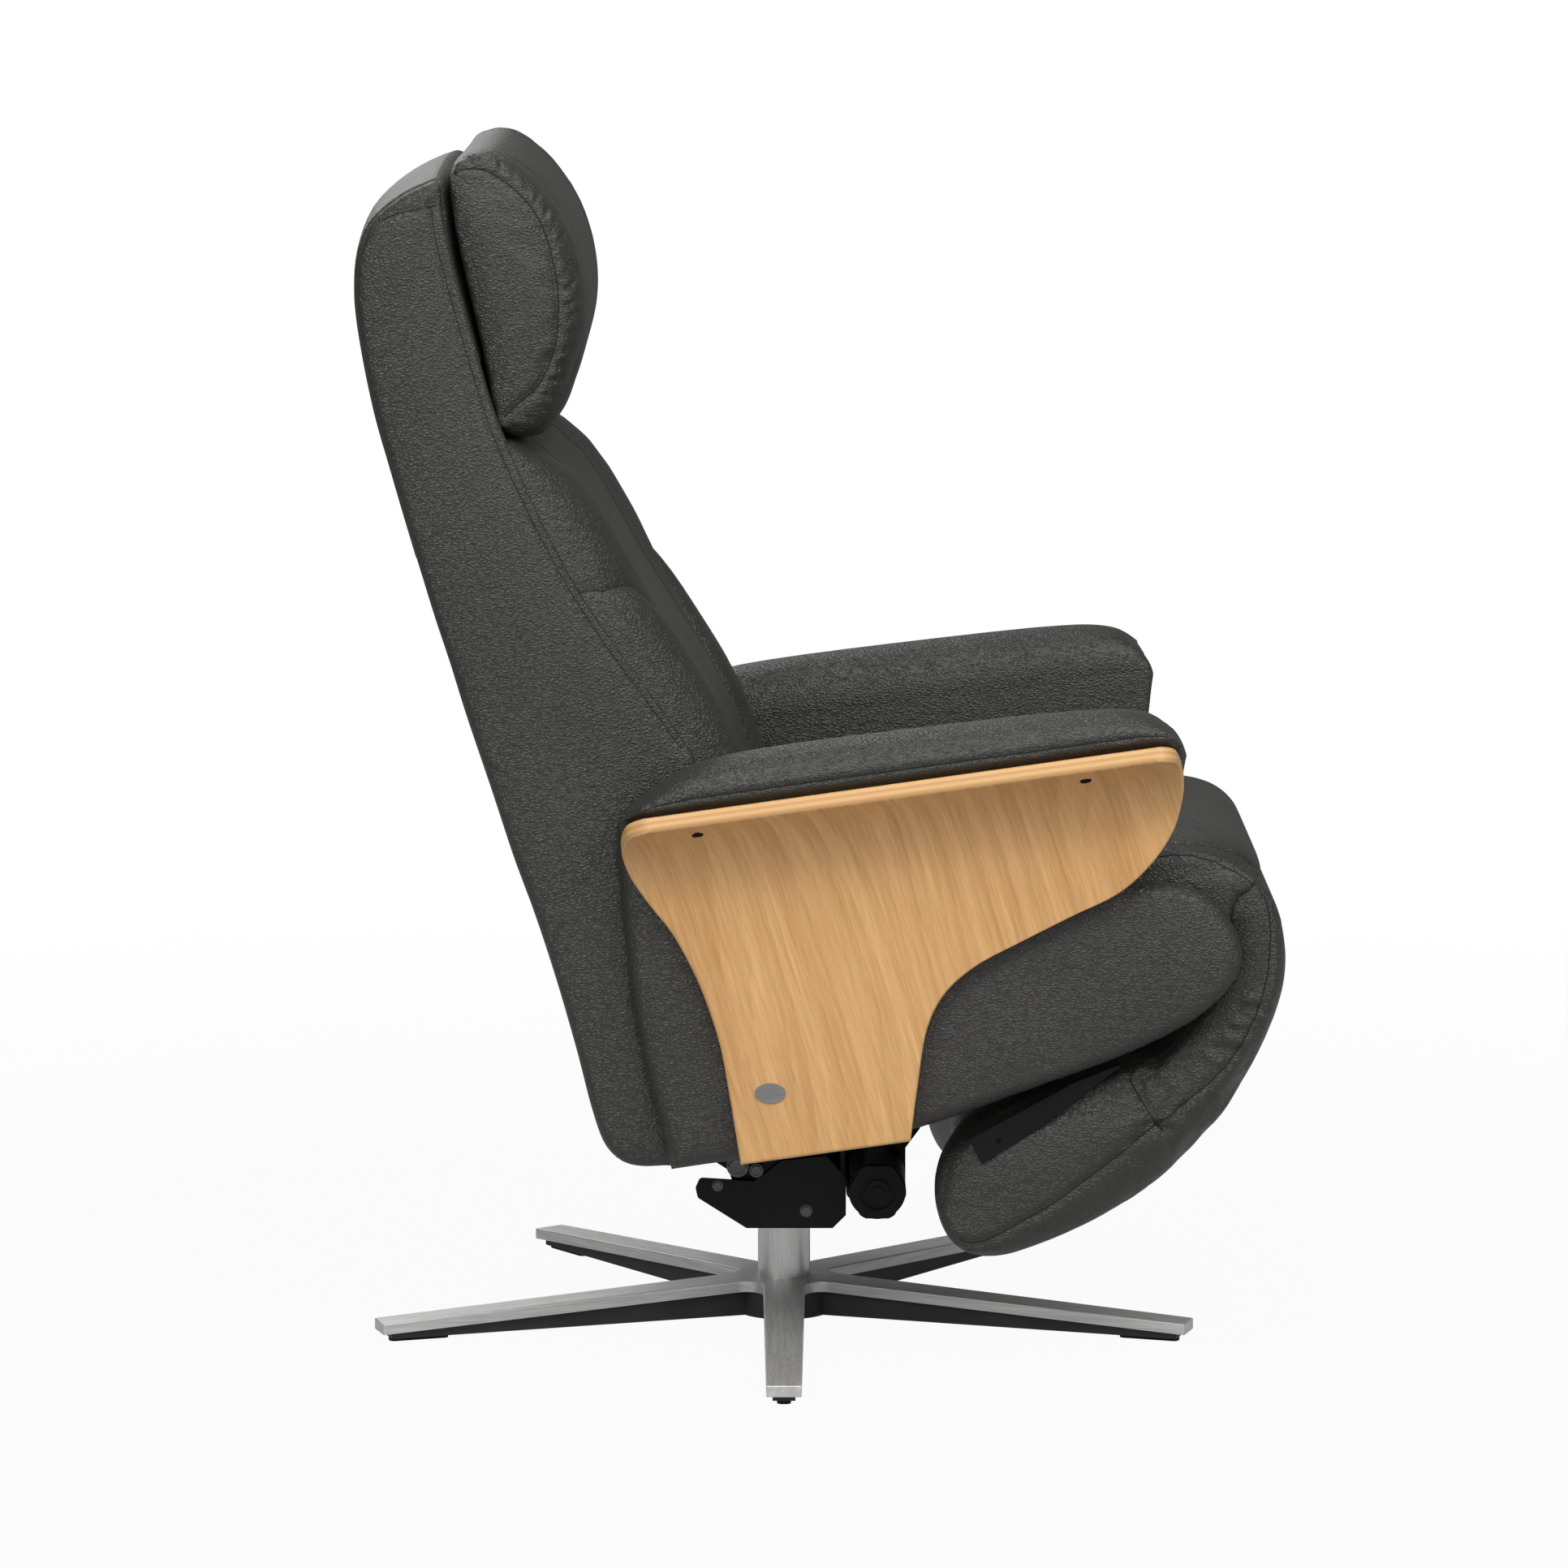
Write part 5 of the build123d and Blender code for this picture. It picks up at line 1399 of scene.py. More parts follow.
@dataclass
class Seat(Upholstered):
    """Seat cushion, its keys along the seat and above its rails, and the padded boards beside it."""

    half: float = 256.0
    rail_z: float = 318.0
    line_y: float = 224.0
    middle: Keys = (
        (11, 4), (10, 40), (11, 74), (24, 92), (62, 100), (130, 105), (200, 108), (290, 110), (355, 109),
        (398, 104), (424, 93), (438, 76), (438, 66), (426, 62), (410, 60), (402, 45), (397, 30), (384, 18),
        (362, 8), (200, 3))
    end: Keys = (
        (26, 4), (26, 36), (28, 62), (38, 80), (70, 88), (130, 92), (200, 96), (290, 100), (350, 101),
        (384, 94), (408, 79), (426, 64), (426, 57), (418, 54), (411, 52), (406, 42), (402, 28), (386, 16),
        (362, 8), (200, 3))
    line: Keys = ((60, 100), (130, 104), (200, 106), (290, 107), (355, 106), (400, 101), (426, 90), (438, 77))
    rim: Keys = ((40, 84), (130, 94), (200, 98), (290, 101), (352, 102), (386, 95), (411, 80), (427, 63))
    board_top: Keys = (
        (-146, 496), (-100, 492), (20, 477), (160, 460), (290, 444), (328, 443), (358, 438), (382, 422),
        (397, 400), (402, 386), (403, 379))
    board_low: Keys = (
        (-99, 187), (-60, 193), (60, 212), (124, 226), (202, 254), (295, 288), (352, 316), (382, 339),
        (397, 358), (402, 371), (403, 379))
    board_rear: Keys = (
        (-99, 187), (-110, 230), (-126, 295), (-136, 360), (-142, 418), (-146, 468), (-146, 496))
    board_outer: float = 285.5
    board_inner: float = 263.0
    board_rim: float = 12.0
    board_crown: float = 8.0
    crown_reach: float = 70.0

    def along_seat(self, keys: Keys) -> Keys:
        """Side-view keys of places along the seat and above its rails.

        Args:
            keys: The places.

        Returns:
            X and height of each.
        """
        x, z = side_to_chair(*np.array(keys, float).T)
        return tuple(zip(x.tolist(), (z - ARM_HEIGHT + self.rail_z).tolist()))

    def held(self, points: Array) -> Array:
        """Share by which points are held: all below the seat's upper face."""
        return smooth((self.rail_z + 78 + 0.14 * points[:, 0] - points[:, 2]) / 14)

    def cushion(self) -> None:
        """Seat cushion: crowned, drawn in at the sides, with a double-stitched line near each side."""
        middle, end = self.along_seat(self.middle), self.along_seat(self.end)
        piece = lofted("seat_pad", self.half, middle, end, lambda t: t**8)
        stuff(piece, Stuffing(6.0, cap=3.0), self.held)
        skin = Skin(piece)
        for side in Side:
            path = in_plane(self.along_seat(self.line), side.value * self.line_y, 160)
            skin.seam(path, 1.6, 4.5, 0.6)
            skin.stitches(path, 3.6)
            skin.seam(in_plane(self.along_seat(self.rim), side.value * (self.half - 0.5), 160), 1.4, 4.0, 0.7)
        skin.commit()
        self.place([piece, *skin.trim(self.finishes)], Body.SEAT, "seat_cushion", 0.8)

    def board(self, side: Side) -> None:
        """Padded board beside the seat: a ladder between its top and bottom edges that meet at a round nose.

        Args:
            side: Side of the chair.
        """
        rows, cols = 140, 60
        place = np.linspace(0, 1, rows)
        share = 1 - (1 - place) ** 1.4
        top, low = (even(curve(keys, rows * 4), rows, share) for keys in (self.board_top, self.board_low))
        across = eased(cols)[None, :, None]
        rear = even(curve(self.board_rear, cols), cols, eased(cols))
        straight = low[:1] * (1 - across[0]) + top[:1] * across[0]
        flat = low[:, None] * (1 - across) + top[:, None] * across
        flat += (rear - straight)[None] * ((1 - place) ** 3)[:, None, None]
        border = np.concatenate([even(low, 500), even(top, 500), even(rear, 300)])
        edge, _ = nearest_on(flat.reshape(-1, 2), border)
        y = self.board_outer - rounded_drop(edge, self.board_rim) - fall(edge, self.board_crown, self.crown_reach)
        label = f"seat_side_{side.name.lower()}"
        piece = side_slab(f"{label}_pad", side, flat, y, self.board_inner)
        self.place([piece], Body.SEAT, label, 0.6)

    def build(self) -> None:
        """Make the cushion and both boards."""
        self.cushion()
        for side in Side:
            self.board(side)


@dataclass
class Arms(Upholstered):
    """Bent wood panels with padded rests on their flared tops."""

    ply: float = 14.0
    bend: float = 82.0
    bend_angle: float = math.radians(68.0)
    lip: float = 18.0
    face: float = 293.0
    foot: float = -325.0
    rounding: float = 3.2
    hole: float = 5.0
    hole_angle: float = math.radians(60.0)
    corner: float = 17.0
    holes: Tuple[float, float] = (-79.0, 260.0)
    rear: Keys = (
        (-36, 185), (-38, 197), (-43, 228), (-48, 259), (-57, 306), (-74, 356), (-96, 399), (-118, 428),
        (-134, 454), (-141, 476), (-140, 490), (-134, 501), (-122, 510), (-108, 516), (-96, 524))
    front: Keys = (
        (108, 190), (111, 217), (117, 266), (125, 316), (141, 349), (169, 374), (208, 395), (251, 417),
        (293, 438), (321, 464), (339, 492), (346, 520), (347, 540), (344, 556), (337, 568), (325, 578))
    rest_section: Keys = (
        (263.5, -150), (263.5, -100), (263.5, -50), (264, -12), (269, 14), (283, 30), (305, 36.5),
        (330, 35), (350, 27.5), (360, 16), (361, 7), (357, 2.5), (342, -3), (322, -13), (304, -31),
        (292, -56), (286.5, -88), (285.5, -120), (285.5, -150))
    rest_top: Keys = (
        (-149, -16), (-144, -6), (-136, 1), (-117, 13), (-90, 27), (-60, 34), (-20, 37), (60, 37),
        (200, 34), (270, 31), (305, 27), (328, 19), (341, 8), (348, -5), (351, -18))
    rest_nose: Keys = ((277, -132), (309, -110), (330, -85), (341, -58), (348, -30), (351, -20))
    rest_runs: Tuple[Tuple[float, float, int], ...] = ((-147, -60, 24), (-52, 300, 40), (304, 351, 18))
    rest_height: float = 36.5
    rest_seam: Triple = (-128.0, 338.0, 10.5)
    rest_outer: float = 361.0

    def straight(self) -> float:
        """Length of the section's flat part, below the bend."""
        rise = (self.bend + self.ply / 2) * math.sin(self.bend_angle) + self.lip * math.cos(self.bend_angle)
        return -rise - self.foot

    def length(self) -> float:
        """Length of the whole section."""
        return self.straight() + self.bend * self.bend_angle + self.lip

    def section(self, s: Array, offset: Array) -> Tuple[Array, Array]:
        """Cross-section of the panel: flat, then round the bend, then the straight lip.

        Args:
            s: Lengths along the section.
            offset: Distances from its middle, towards the sitter.

        Returns:
            Distance from the chair's middle, and height square to the arm.
        """
        straight = self.straight()
        turn = np.clip((s - straight) / self.bend, 0, self.bend_angle)
        over = np.clip(s - straight - self.bend * self.bend_angle, 0, None)
        radius = self.bend + offset
        y = self.face + self.bend - radius * np.cos(turn) + over * math.sin(self.bend_angle)
        w = self.foot + np.minimum(s, straight) + radius * np.sin(turn) + over * math.cos(self.bend_angle)
        return y, w

    def limits(self, keys: Keys, w: Array) -> Array:
        """Where rows of the panel meet an edge of its side view.

        Args:
            keys: Side-view keys of the edge.
            w: Height of each row square to the arm.

        Returns:
            Place of each along the arm.
        """
        edge = catmull(keys, 12, False)
        order = np.argsort(edge[:, 1])
        x, z = edge[order, 0], edge[order, 1]
        u = np.zeros_like(w)
        for _ in range(40):
            height = side_to_chair(u, w)[1]
            u = 0.5 * u + 0.5 * (np.interp(height, z, x) + w * math.sin(SLOPE)) / math.cos(SLOPE)
        return u

    def panel(self, side: Side) -> None:
        """Wood panel: rounded outlines stacked up the bent section, drilled for the rest's screws.

        Args:
            side: Side of the chair.
        """
        half, edge = self.ply / 2, self.rounding
        turn = np.linspace(0, math.pi / 2, 6)
        length = self.length()
        rows, cols = 140, 110
        drawn, sunk = edge * (1 - np.cos(turn)), edge * (1 - np.sin(turn))
        s = np.concatenate([drawn, np.linspace(edge + 2, length - edge - 2, rows), length - drawn[::-1]])
        limit = half - np.concatenate([sunk, np.zeros(rows), sunk[::-1]])
        middle = self.section(s, np.zeros_like(s))[1]
        rear, front = self.limits(self.rear, middle)[:, None], self.limits(self.front, middle)[:, None]
        round_off = rounded_drop(length - s, self.corner)[:, None]
        rear, front = rear + round_off, front - round_off
        inset = np.concatenate([sunk, [0.0], drawn])
        level = np.concatenate([drawn - half, [0.0], half - sunk])
        run = rear + edge + (front - rear - 2 * edge) * np.linspace(0, 1, cols)
        u = np.concatenate([run, front - inset, run[:, ::-1], rear + inset[::-1]], axis=1)
        depth = np.concatenate([np.full(cols, -half), level, np.full(cols, half), level[::-1]])
        offset = np.clip(depth[None], -limit[:, None], limit[:, None])
        y, w = self.section(np.repeat(s[:, None], offset.shape[1], axis=1), offset)
        x, z = side_to_chair(u, w)
        piece = loft(f"arm_panel_{side.name.lower()}_wood", np.stack([x, side.value * y, z], axis=-1))
        self.drill(piece, side)
        self.map_sheet(piece, side)
        piece.data.materials.append(self.finishes.wood)
        # The second finish darkens the screw holes' walls: painted shade.
        piece.data.materials.append(self.finishes.seam)
        self.shade_hole_walls(piece)
        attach(piece, Body.SEAT.value)
        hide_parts(f"arm_panel_{side.name.lower()}")
        report(piece)

    def drill(self, piece: Piece, side: Side, reach: float = 16.0) -> None:
        """Drill the screw holes square to the flare.

        Args:
            piece: The panel.
            side: Side of the chair.
            reach: How far the drill goes to each side of the panel's middle.
        """
        turn = np.linspace(0, 2 * math.pi, 32, endpoint=False)
        across = self.hole * np.sin(turn)
        rise, run = math.sin(self.hole_angle), math.cos(self.hole_angle)
        for place in self.holes:
            rings = []
            for radius in (self.bend - reach, self.bend + reach):
                y = self.face + self.bend - radius * run + across * rise
                w = self.foot + self.straight() + radius * rise + across * run
                x, z = side_to_chair(place + self.hole * np.cos(turn), w)
                rings.append(np.stack([x, side.value * y, z], axis=-1))
            bore(piece, np.stack(rings))

    def shade_hole_walls(self, piece: Piece) -> None:
        """Paint shade on the walls of the screw holes: faces near a hole's axis get the second material, the
        near-black seam finish.

        Args:
            piece: The panel.
        """
        mesh = piece.data
        flat = np.empty(len(mesh.polygons) * 3, np.float32)
        mesh.polygons.foreach_get("center", flat)
        x, y, z = flat.reshape(-1, 3).T / MM
        u, w = chair_to_side(x, z)
        rise, run = math.sin(self.hole_angle), math.cos(self.hole_angle)
        out = np.abs(y) - self.face - self.bend + self.bend * run
        up = w - self.foot - self.straight() - self.bend * rise
        across = out * rise + up * run
        reach = np.min([np.hypot(u - place, across) for place in self.holes], axis=0)
        mesh.polygons.foreach_set("material_index", (reach < self.hole + 0.15).astype(np.int32))

    def map_sheet(self, piece: Piece, side: Side) -> None:
        """Lay the sheet's map and its plywood depth on a panel, from each point's place on the bent section.

        Args:
            piece: The panel.
            side: Side of the chair; each side shows its own part of the grain.
        """
        mesh = piece.data
        x, y, z = mesh_points(mesh).T
        u, w = chair_to_side(x, z)
        at = np.stack([np.abs(y), w], axis=1)
        lengths = np.linspace(0, self.length(), 900)
        section = np.stack(self.section(lengths, np.zeros(900)), axis=1)
        _, index = nearest_on(at, section)
        tangent = np.gradient(section, axis=0)[index]
        offset = at - section[index]
        depth = (tangent[:, 0] * offset[:, 1] - tangent[:, 1] * offset[:, 0]) / np.linalg.norm(tangent, axis=1)
        corner = np.empty(len(mesh.loops), np.int32)
        mesh.loops.foreach_get("vertex_index", corner)
        shift = 0.0 if side is Side.RIGHT else 1.3
        uv = np.stack([u * MM + shift, lengths[index] * MM], axis=1)[corner]
        mesh.uv_layers.new(name="sheet").data.foreach_set("uv", uv.astype(np.float32).ravel())
        inside = np.clip((self.ply / 2 - 0.6 - np.abs(depth)) / 0.8, 0, 1)
        for name, values in (("ply_depth", depth / self.ply + 0.5), ("ply_edge", inside)):
            mesh.attributes.new(name, "FLOAT", "POINT").data.foreach_set("value", values.astype(np.float32))

    def rest(self, side: Side) -> None:
        """Padded rest: one section carried along the arm, its top and bottom following the side view.

        Args:
            side: Side of the chair.
        """
        across, level = catmull(self.rest_section, 5, True).T
        stations = np.concatenate([np.linspace(*run) for run in self.rest_runs])
        top = np.interp(stations, *even(catmull(self.rest_top, 12, False), 400).T)
        low = -7.2 - (stations + 149.7) * 0.2701
        low = np.maximum(low, np.interp(stations, *np.array(self.rest_nose, float).T))
        tall = level[None] * np.where(level[None] > 0, top[:, None] / self.rest_height, 1.0)
        w = np.minimum(np.maximum(tall, low[:, None]), np.maximum(top, low + 4.0)[:, None])
        x, z = side_to_chair(np.repeat(stations[:, None], w.shape[1], axis=1), w)
        y = np.repeat(side.value * across[None], len(stations), axis=0)
        piece = loft(f"arm_rest_{side.name.lower()}", np.stack([x, y, z], axis=-1))
        stuff(piece, Stuffing(5.0, cap=2.5, relax=3), self.held)
        skin = Skin(piece)
        start, stop, height = self.rest_seam
        x, z = side_to_chair(np.linspace(start, stop, 220), np.full(220, height))
        skin.seam(np.stack([x, np.full(220, side.value * self.rest_outer), z], axis=1), 1.8, 3.6, 0.8)
        skin.commit()
        self.place([piece, *skin.trim(self.finishes)], Body.SEAT, f"arm_pad_{side.name.lower()}", 0.8)

    def held(self, points: Array) -> Array:
        """Share by which points are held: all below the top of the wood."""
        return smooth((0.14 * points[:, 0] + ARM_HEIGHT - 8 - points[:, 2]) / 8)

    def build(self) -> None:
        """Make both arms."""
        for side in Side:
            self.panel(side)
            self.rest(side)


@dataclass
class LegRest(Upholstered):
    """Leg rest in one skin that bends at its fold, with flat gussets at both ends."""

    half: float = 252.5
    rim: float = 40.0
    dish: float = 22.0
    gusset_sink: float = 9.0
    gusset_reach: float = 48.0
    fold_out: Triple = (0.352, 0.0, 0.238)
    fold_in: Triple = (0.306, 0.0, 0.214)
    middle: Keys = (
        (414, 437), (427, 428), (437, 410), (444, 374), (441, 342), (431, 313), (418, 284), (403, 255),
        (385, 226), (354, 190), (322, 161), (282, 136), (245, 118), (208, 104), (186, 99), (163, 102),
        (145, 114), (134, 138), (131, 164), (136, 189), (148, 206), (168, 221), (200, 236), (236, 250),
        (272, 262), (300, 270), (328, 276), (352, 298), (374, 328), (388, 358), (394, 388), (394, 418),
        (400, 433))
    end: Keys = (
        (408, 447), (424, 434), (429, 410), (428, 374), (424, 346), (414, 313), (399, 286), (380, 264),
        (358, 246), (330, 224), (302, 201), (262, 170), (236, 151), (207, 134), (184, 121), (167, 116),
        (154, 118), (145, 130), (140, 152), (144, 180), (156, 203), (174, 218), (202, 234), (238, 250),
        (272, 263), (300, 272), (328, 279), (352, 300), (374, 330), (386, 360), (385, 390), (380, 416),
        (386, 440))
    seam_keys: Keys = (
        (423, 435), (429, 410), (428, 374), (424, 346), (414, 313), (399, 286), (380, 264), (358, 246),
        (330, 224), (302, 201), (262, 170), (236, 151), (207, 134), (184, 121), (167, 116), (154, 118))
    fold: Keys = ((304, 266), (318, 242), (335, 217))
    crease: Keys = ((404, 352), (392, 318), (370, 290), (344, 274), (306, 268))

    def round_gussets(self, piece: Piece) -> None:
        """Let the end faces fall inwards towards their inner edge.

        Args:
            piece: The leg rest.
        """
        points = mesh_points(piece.data)
        inner = even(catmull(self.end[18:], 8, False), 240)
        away, _ = nearest_on(points[:, ::2], inner)
        drop = fall(away, self.gusset_sink, self.gusset_reach)
        near = smooth((np.abs(points[:, 1]) - self.half + 25) / 18)
        points[:, 1] -= np.sign(points[:, 1]) * drop * near
        write_points(piece.data, points)

    def build(self) -> None:
        """Loft, fill, gather and sew the leg rest."""
        weigh = rounded_rim(self.rim, self.half)
        piece = lofted("leg_rest_pad", self.half, self.middle, self.end, weigh, stations=71, per_key=5)
        points = mesh_points(piece.data)
        hollow = smooth((self.half - 30 - np.abs(points[:, 1])) / 150) * smooth((230 - points[:, 0]) / 90)
        points[:, 0] += self.dish * hollow
        write_points(piece.data, points)
        stuff(piece, Stuffing(5.5, cap=3.0), lambda p: smooth((p[:, 2] - 400) / 14))
        self.round_gussets(piece)
        skin = Skin(piece)
        for side in Side:
            y = side.value * self.half
            path, fold = in_plane(self.seam_keys, y, 260), in_plane(self.fold, y, 60)
            skin.gather(skin.settle(path)[0], 1.6, 17.0, 22.0, (0.0, -side.value, 0.0), seed=11)
            skin.gather(fold, 4.6, 15.0, 44.0, (0.85, 0.0, 0.5), seed=5)
            skin.gather(fold, 2.8, 19.0, 34.0, (-0.85, 0.0, -0.5), seed=6)
            skin.gather(in_plane(self.crease, y, 120), 4.2, 19.0, 23.0, (0.6, 0.0, -0.8), seed=9)
            skin.seam(fold, 2.6, 4.6, 0.8)
            skin.seam(path, 2.0, 4.2, 0.7)
        skin.commit()
        for each in (piece, *skin.trim(self.finishes)):
            self.dress(each)
            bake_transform(each)
        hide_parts("calf_cushion", "foot_cushion")


@dataclass
class FootBars:
    """Flat black bar at each end of the foot pad, with a square lower end and a screw hole."""

    finishes: Finishes
    keys: Keys = (
        (162.8, 211.1), (174.8, 188.8), (236.1, 227.9), (289.9, 271.1), (296.5, 275.0), (294.4, 278.1),
        (253.8, 261.4))
    inner: float = 250.4
    outer: float = 254.6
    bevel: float = 0.7
    hole: float = 2.3
    hole_at: Tuple[float, float] = (189.0, 210.0)

    def outline(self, inset: float) -> Array:
        """Side outline, drawn in: each corner moves along the mean of its two sides' normals.

        Args:
            inset: How far it is drawn in.

        Returns:
            The corners.
        """
        corners = np.array(self.keys)
        along = unit(np.roll(corners, -1, axis=0) - corners)
        inward = np.stack([-along[:, 1], along[:, 0]], axis=1)
        before = np.roll(inward, 1, axis=0)
        lean = 1 + (inward * before).sum(1, keepdims=True)
        return corners + inset * (inward + before) / lean

    def build(self) -> None:
        """Make both bars as one piece each."""
        turn = np.linspace(0, 2 * math.pi, 20, endpoint=False)
        hole = np.array(self.hole_at) + self.hole * np.stack([np.cos(turn), np.sin(turn)], axis=1)
        levels = ((self.inner, self.bevel), (self.inner + self.bevel, 0.0), (self.outer - self.bevel, 0.0),
                  (self.outer, self.bevel))
        for side in Side:
            rings = [upright(self.outline(inset), side.value * y) for y, inset in levels]
            piece = loft(f"foot_bar_{side.name.lower()}", np.stack(rings))
            bore(piece, np.stack([upright(hole, side.value * y) for y in (self.inner - 4, self.outer + 4)]))
            piece.data.shade_flat()
            piece.data.materials.append(self.finishes.slots["black_steel"])
            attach(piece, Body.FOOT.value)
            if side is Side.RIGHT:
                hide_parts("foot_bars")
            report(piece)


@dataclass
class Fasteners:
    """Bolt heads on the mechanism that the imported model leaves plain."""

    finishes: Finishes
    cheek: float = 110.0
    tall: float = 0.75
    places: Tuple[Triple, ...] = (
        (-42.0, 159.0, 8.0), (-25.0, 155.0, 5.0), (-60.0, 141.0, 4.0), (20.0, 118.0, 4.5))
    steps: Tuple[Triple, ...] = (
        (1.25, 0.0, 0.0), (1.25, 0.18, 0.0), (1.02, 0.2, 1.0), (1.02, 0.86, 1.0), (0.9, 1.0, 0.3),
        (0.5, 0.94, 0.0))

    def head(self, radius: float, side: Side) -> Array:
        """Six-sided head with a washer, a chamfer and a dished top, standing on the mechanism's cheek.

        Args:
            radius: Radius of the head.
            side: Side of the chair.

        Returns:
            Its rings.
        """
        turn = np.linspace(0, 2 * math.pi, 24, endpoint=False)
        flats = np.cos(math.pi / 6) / np.cos((turn % (math.pi / 3)) - math.pi / 6)
        rings = []
        for share, level, hexagon in self.steps:
            shape = radius * share * (hexagon * flats + (1 - hexagon))
            flat = np.stack([shape * np.cos(turn), shape * np.sin(turn)], axis=1)
            rings.append(upright(flat, side.value * (self.cheek + level * radius * self.tall)))
        return np.stack(rings)

    def build(self) -> None:
        """Set the heads on both cheeks of the mechanism."""
        heads = []
        for side in Side:
            for x, z, radius in self.places:
                rings = self.head(radius, side) + np.array([x, 0.0, z])
                heads.append((rings.reshape(-1, 3), closed_faces(*rings.shape[:2])))
        piece = make_piece("mechanism_bolts", *joined(heads))
        piece.data.shade_flat()
        piece.data.materials.append(self.finishes.bolt)
        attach(piece, Body.CHASSIS.value)
        report(piece)


@dataclass(frozen=True)
class Lamp:
    """Large soft lamp that faces the middle of the chair.

    Attributes:
        name: Name of the lamp.
        place: Where it stands, in metres.
        size: Diameter in metres.
        power: Power in watts.
    """

    name: str
    place: Triple
    size: float
    power: float

    def build(self, aim: Triple) -> None:
        """Hang the lamp.

        Args:
            aim: Point that it faces, in metres.
        """
        data = bpy.data.lights.new(self.name, "AREA")
        data.shape = "DISK"
        data.size = self.size
        data.energy = self.power
        lamp = bpy.data.objects.new(self.name, data)
        lamp.location = self.place
        x, y, z = np.array(aim) - np.array(self.place)
        lamp.rotation_euler = (math.atan2(math.hypot(x, y), -z), 0.0, math.atan2(y, x) - math.pi / 2)
        bpy.context.scene.collection.objects.link(lamp)


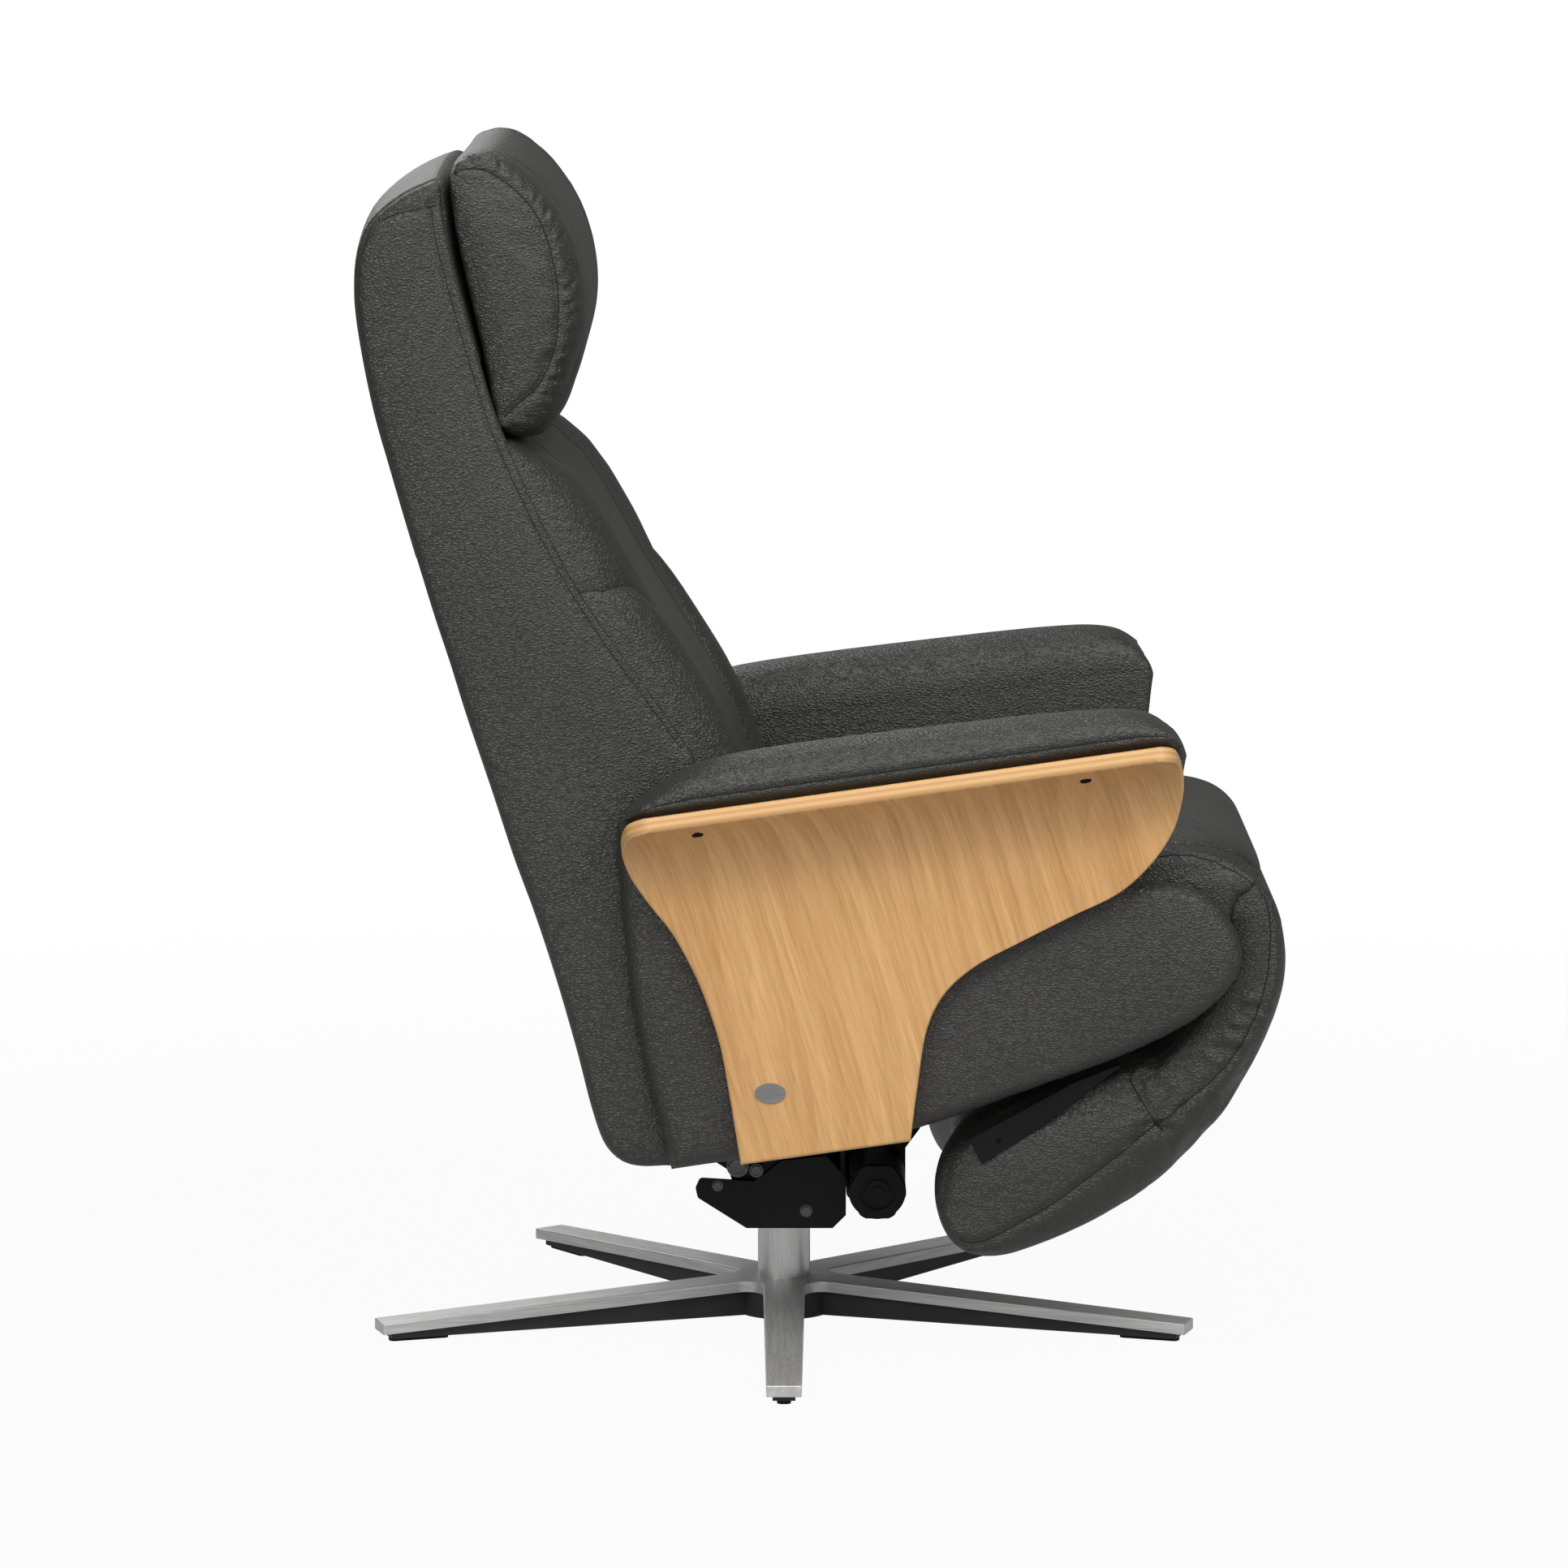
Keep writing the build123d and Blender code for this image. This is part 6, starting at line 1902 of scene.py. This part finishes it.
@dataclass(frozen=True)
class Studio:
    """Camera, pale floor and soft lamps."""

    camera_y: float = -6.5538
    camera_z: float = 1.4114
    pitch: float = math.radians(7.984)
    lens: float = 166.62
    sensor: float = 36.0
    aim: Triple = (0.0, 0.0, 0.55)
    shown: float = 0.95
    mirrored: float = 0.25
    bounce: Triple = (0.42, 0.42, 0.42)
    fade: Tuple[float, float] = (0.9, 2.6)
    rings: Tuple[float, ...] = (0.02, 1.0, 2.0, 4.0, 6.0)
    ambient: float = 0.16
    lamps: Tuple[Lamp, ...] = (
        Lamp("key", (-1.9, -2.9, 2.6), 1.8, 47.0),
        Lamp("front", (0.3, -4.6, 2.3), 3.0, 26.0),
        Lamp("front_high", (0.2, -2.4, 3.6), 2.2, 34.0),
        Lamp("right_low", (2.3, -2.6, 1.9), 1.4, 16.0),
        Lamp("right_high", (2.2, -1.6, 2.9), 1.6, 31.0),
        Lamp("top", (-0.1, -0.2, 3.2), 1.6, 18.0),
        Lamp("back", (-1.5, 3.5, 2.6), 2.6, 35.0))

    def camera(self) -> None:
        """Camera at the photograph's viewing angle."""
        data = bpy.data.cameras.new("photo_camera")
        data.lens = self.lens
        data.sensor_width = self.sensor
        data.clip_end = 200.0
        camera = bpy.data.objects.new("photo_camera", data)
        camera.location = (0.0, self.camera_y, self.camera_z)
        camera.rotation_euler = (math.pi / 2 - self.pitch, 0.0, 0.0)
        bpy.context.scene.collection.objects.link(camera)
        bpy.context.scene.camera = camera

    def floor(self) -> None:
        """Pale floor that fades into the white surround and keeps a soft shadow."""
        cols = 96
        turn = np.linspace(0, 2 * math.pi, cols, endpoint=False)
        reach = np.array(self.rings)[:, None] / MM
        rings = np.stack([reach * np.cos(turn), reach * np.sin(turn), 0 * reach * turn], axis=-1)
        faces = [*grid_quads(len(self.rings), cols, True).tolist(), list(range(cols))]
        floor = make_piece("floor", rings.reshape(-1, 3), faces)
        n = Nodes("pale_floor")
        glow = n.add("ShaderNodeEmission", Color=(1, 1, 1, 1), Strength=1.0).outputs["Emission"]
        clay = n.add("ShaderNodeBsdfDiffuse", Color=(*self.bounce, 1)).outputs["BSDF"]
        ray = n.add("ShaderNodeLightPath").outputs
        seen = n.math("MAXIMUM", ray["Is Camera Ray"], ray["Is Transmission Ray"])
        seen = n.math("MAXIMUM", seen, n.math("MULTIPLY", ray["Is Glossy Ray"], self.mirrored))
        white = n.blend(n.math("MULTIPLY", seen, self.shown), clay, glow)
        length = n.add("ShaderNodeVectorMath", operation="LENGTH")
        n.join(n.place(), length.inputs[0])
        low, high = self.fade
        fade = n.add("ShaderNodeMapRange", interpolation_type="SMOOTHSTEP", From_Min=low, From_Max=high)
        n.join(length.outputs["Value"], fade.inputs["Value"])
        clear = n.add("ShaderNodeBsdfTransparent").outputs["BSDF"]
        whole = n.blend(fade.outputs["Result"], white, clear)
        n.join(whole, n.tree.nodes["Material Output"].inputs["Surface"])
        floor.data.materials.append(n.material)

    def surround(self) -> None:
        """White surround where it is seen, and an even dim light elsewhere."""
        world = bpy.data.worlds.new("studio")
        bpy.context.scene.world = world
        world.use_nodes = True
        nodes, links = world.node_tree.nodes, world.node_tree.links
        back = nodes["Background"]
        ray = nodes.new("ShaderNodeLightPath").outputs
        seen = nodes.new("ShaderNodeMath")
        seen.operation = "MAXIMUM"
        links.new(ray["Is Camera Ray"], seen.inputs[0])
        links.new(ray["Is Transmission Ray"], seen.inputs[1])
        level = nodes.new("ShaderNodeMapRange")
        level.inputs["To Min"].default_value = self.ambient
        level.inputs["To Max"].default_value = 1.0
        links.new(seen.outputs["Value"], level.inputs["Value"])
        links.new(level.outputs["Result"], back.inputs["Strength"])
        back.inputs["Color"].default_value = (1, 1, 1, 1)

    def build(self) -> None:
        """Set up the whole studio."""
        self.camera()
        self.floor()
        self.surround()
        for lamp in self.lamps:
            lamp.build(self.aim)
        bpy.context.scene.view_settings.view_transform = "Standard"


def main() -> None:
    """Build the studio and every sub-assembly in order."""
    logging.basicConfig(level=logging.INFO, format="%(name)s: %(message)s")
    Studio().build()
    finishes = Finishes()
    finishes.dress_frame()
    for part in (Headrest, BackCushions, BackShell, Seat, Arms, LegRest, FootBars, Fasteners):
        log.info("building %s", part.__name__)
        part(finishes).build()


if __name__ == "__main__":
    main()
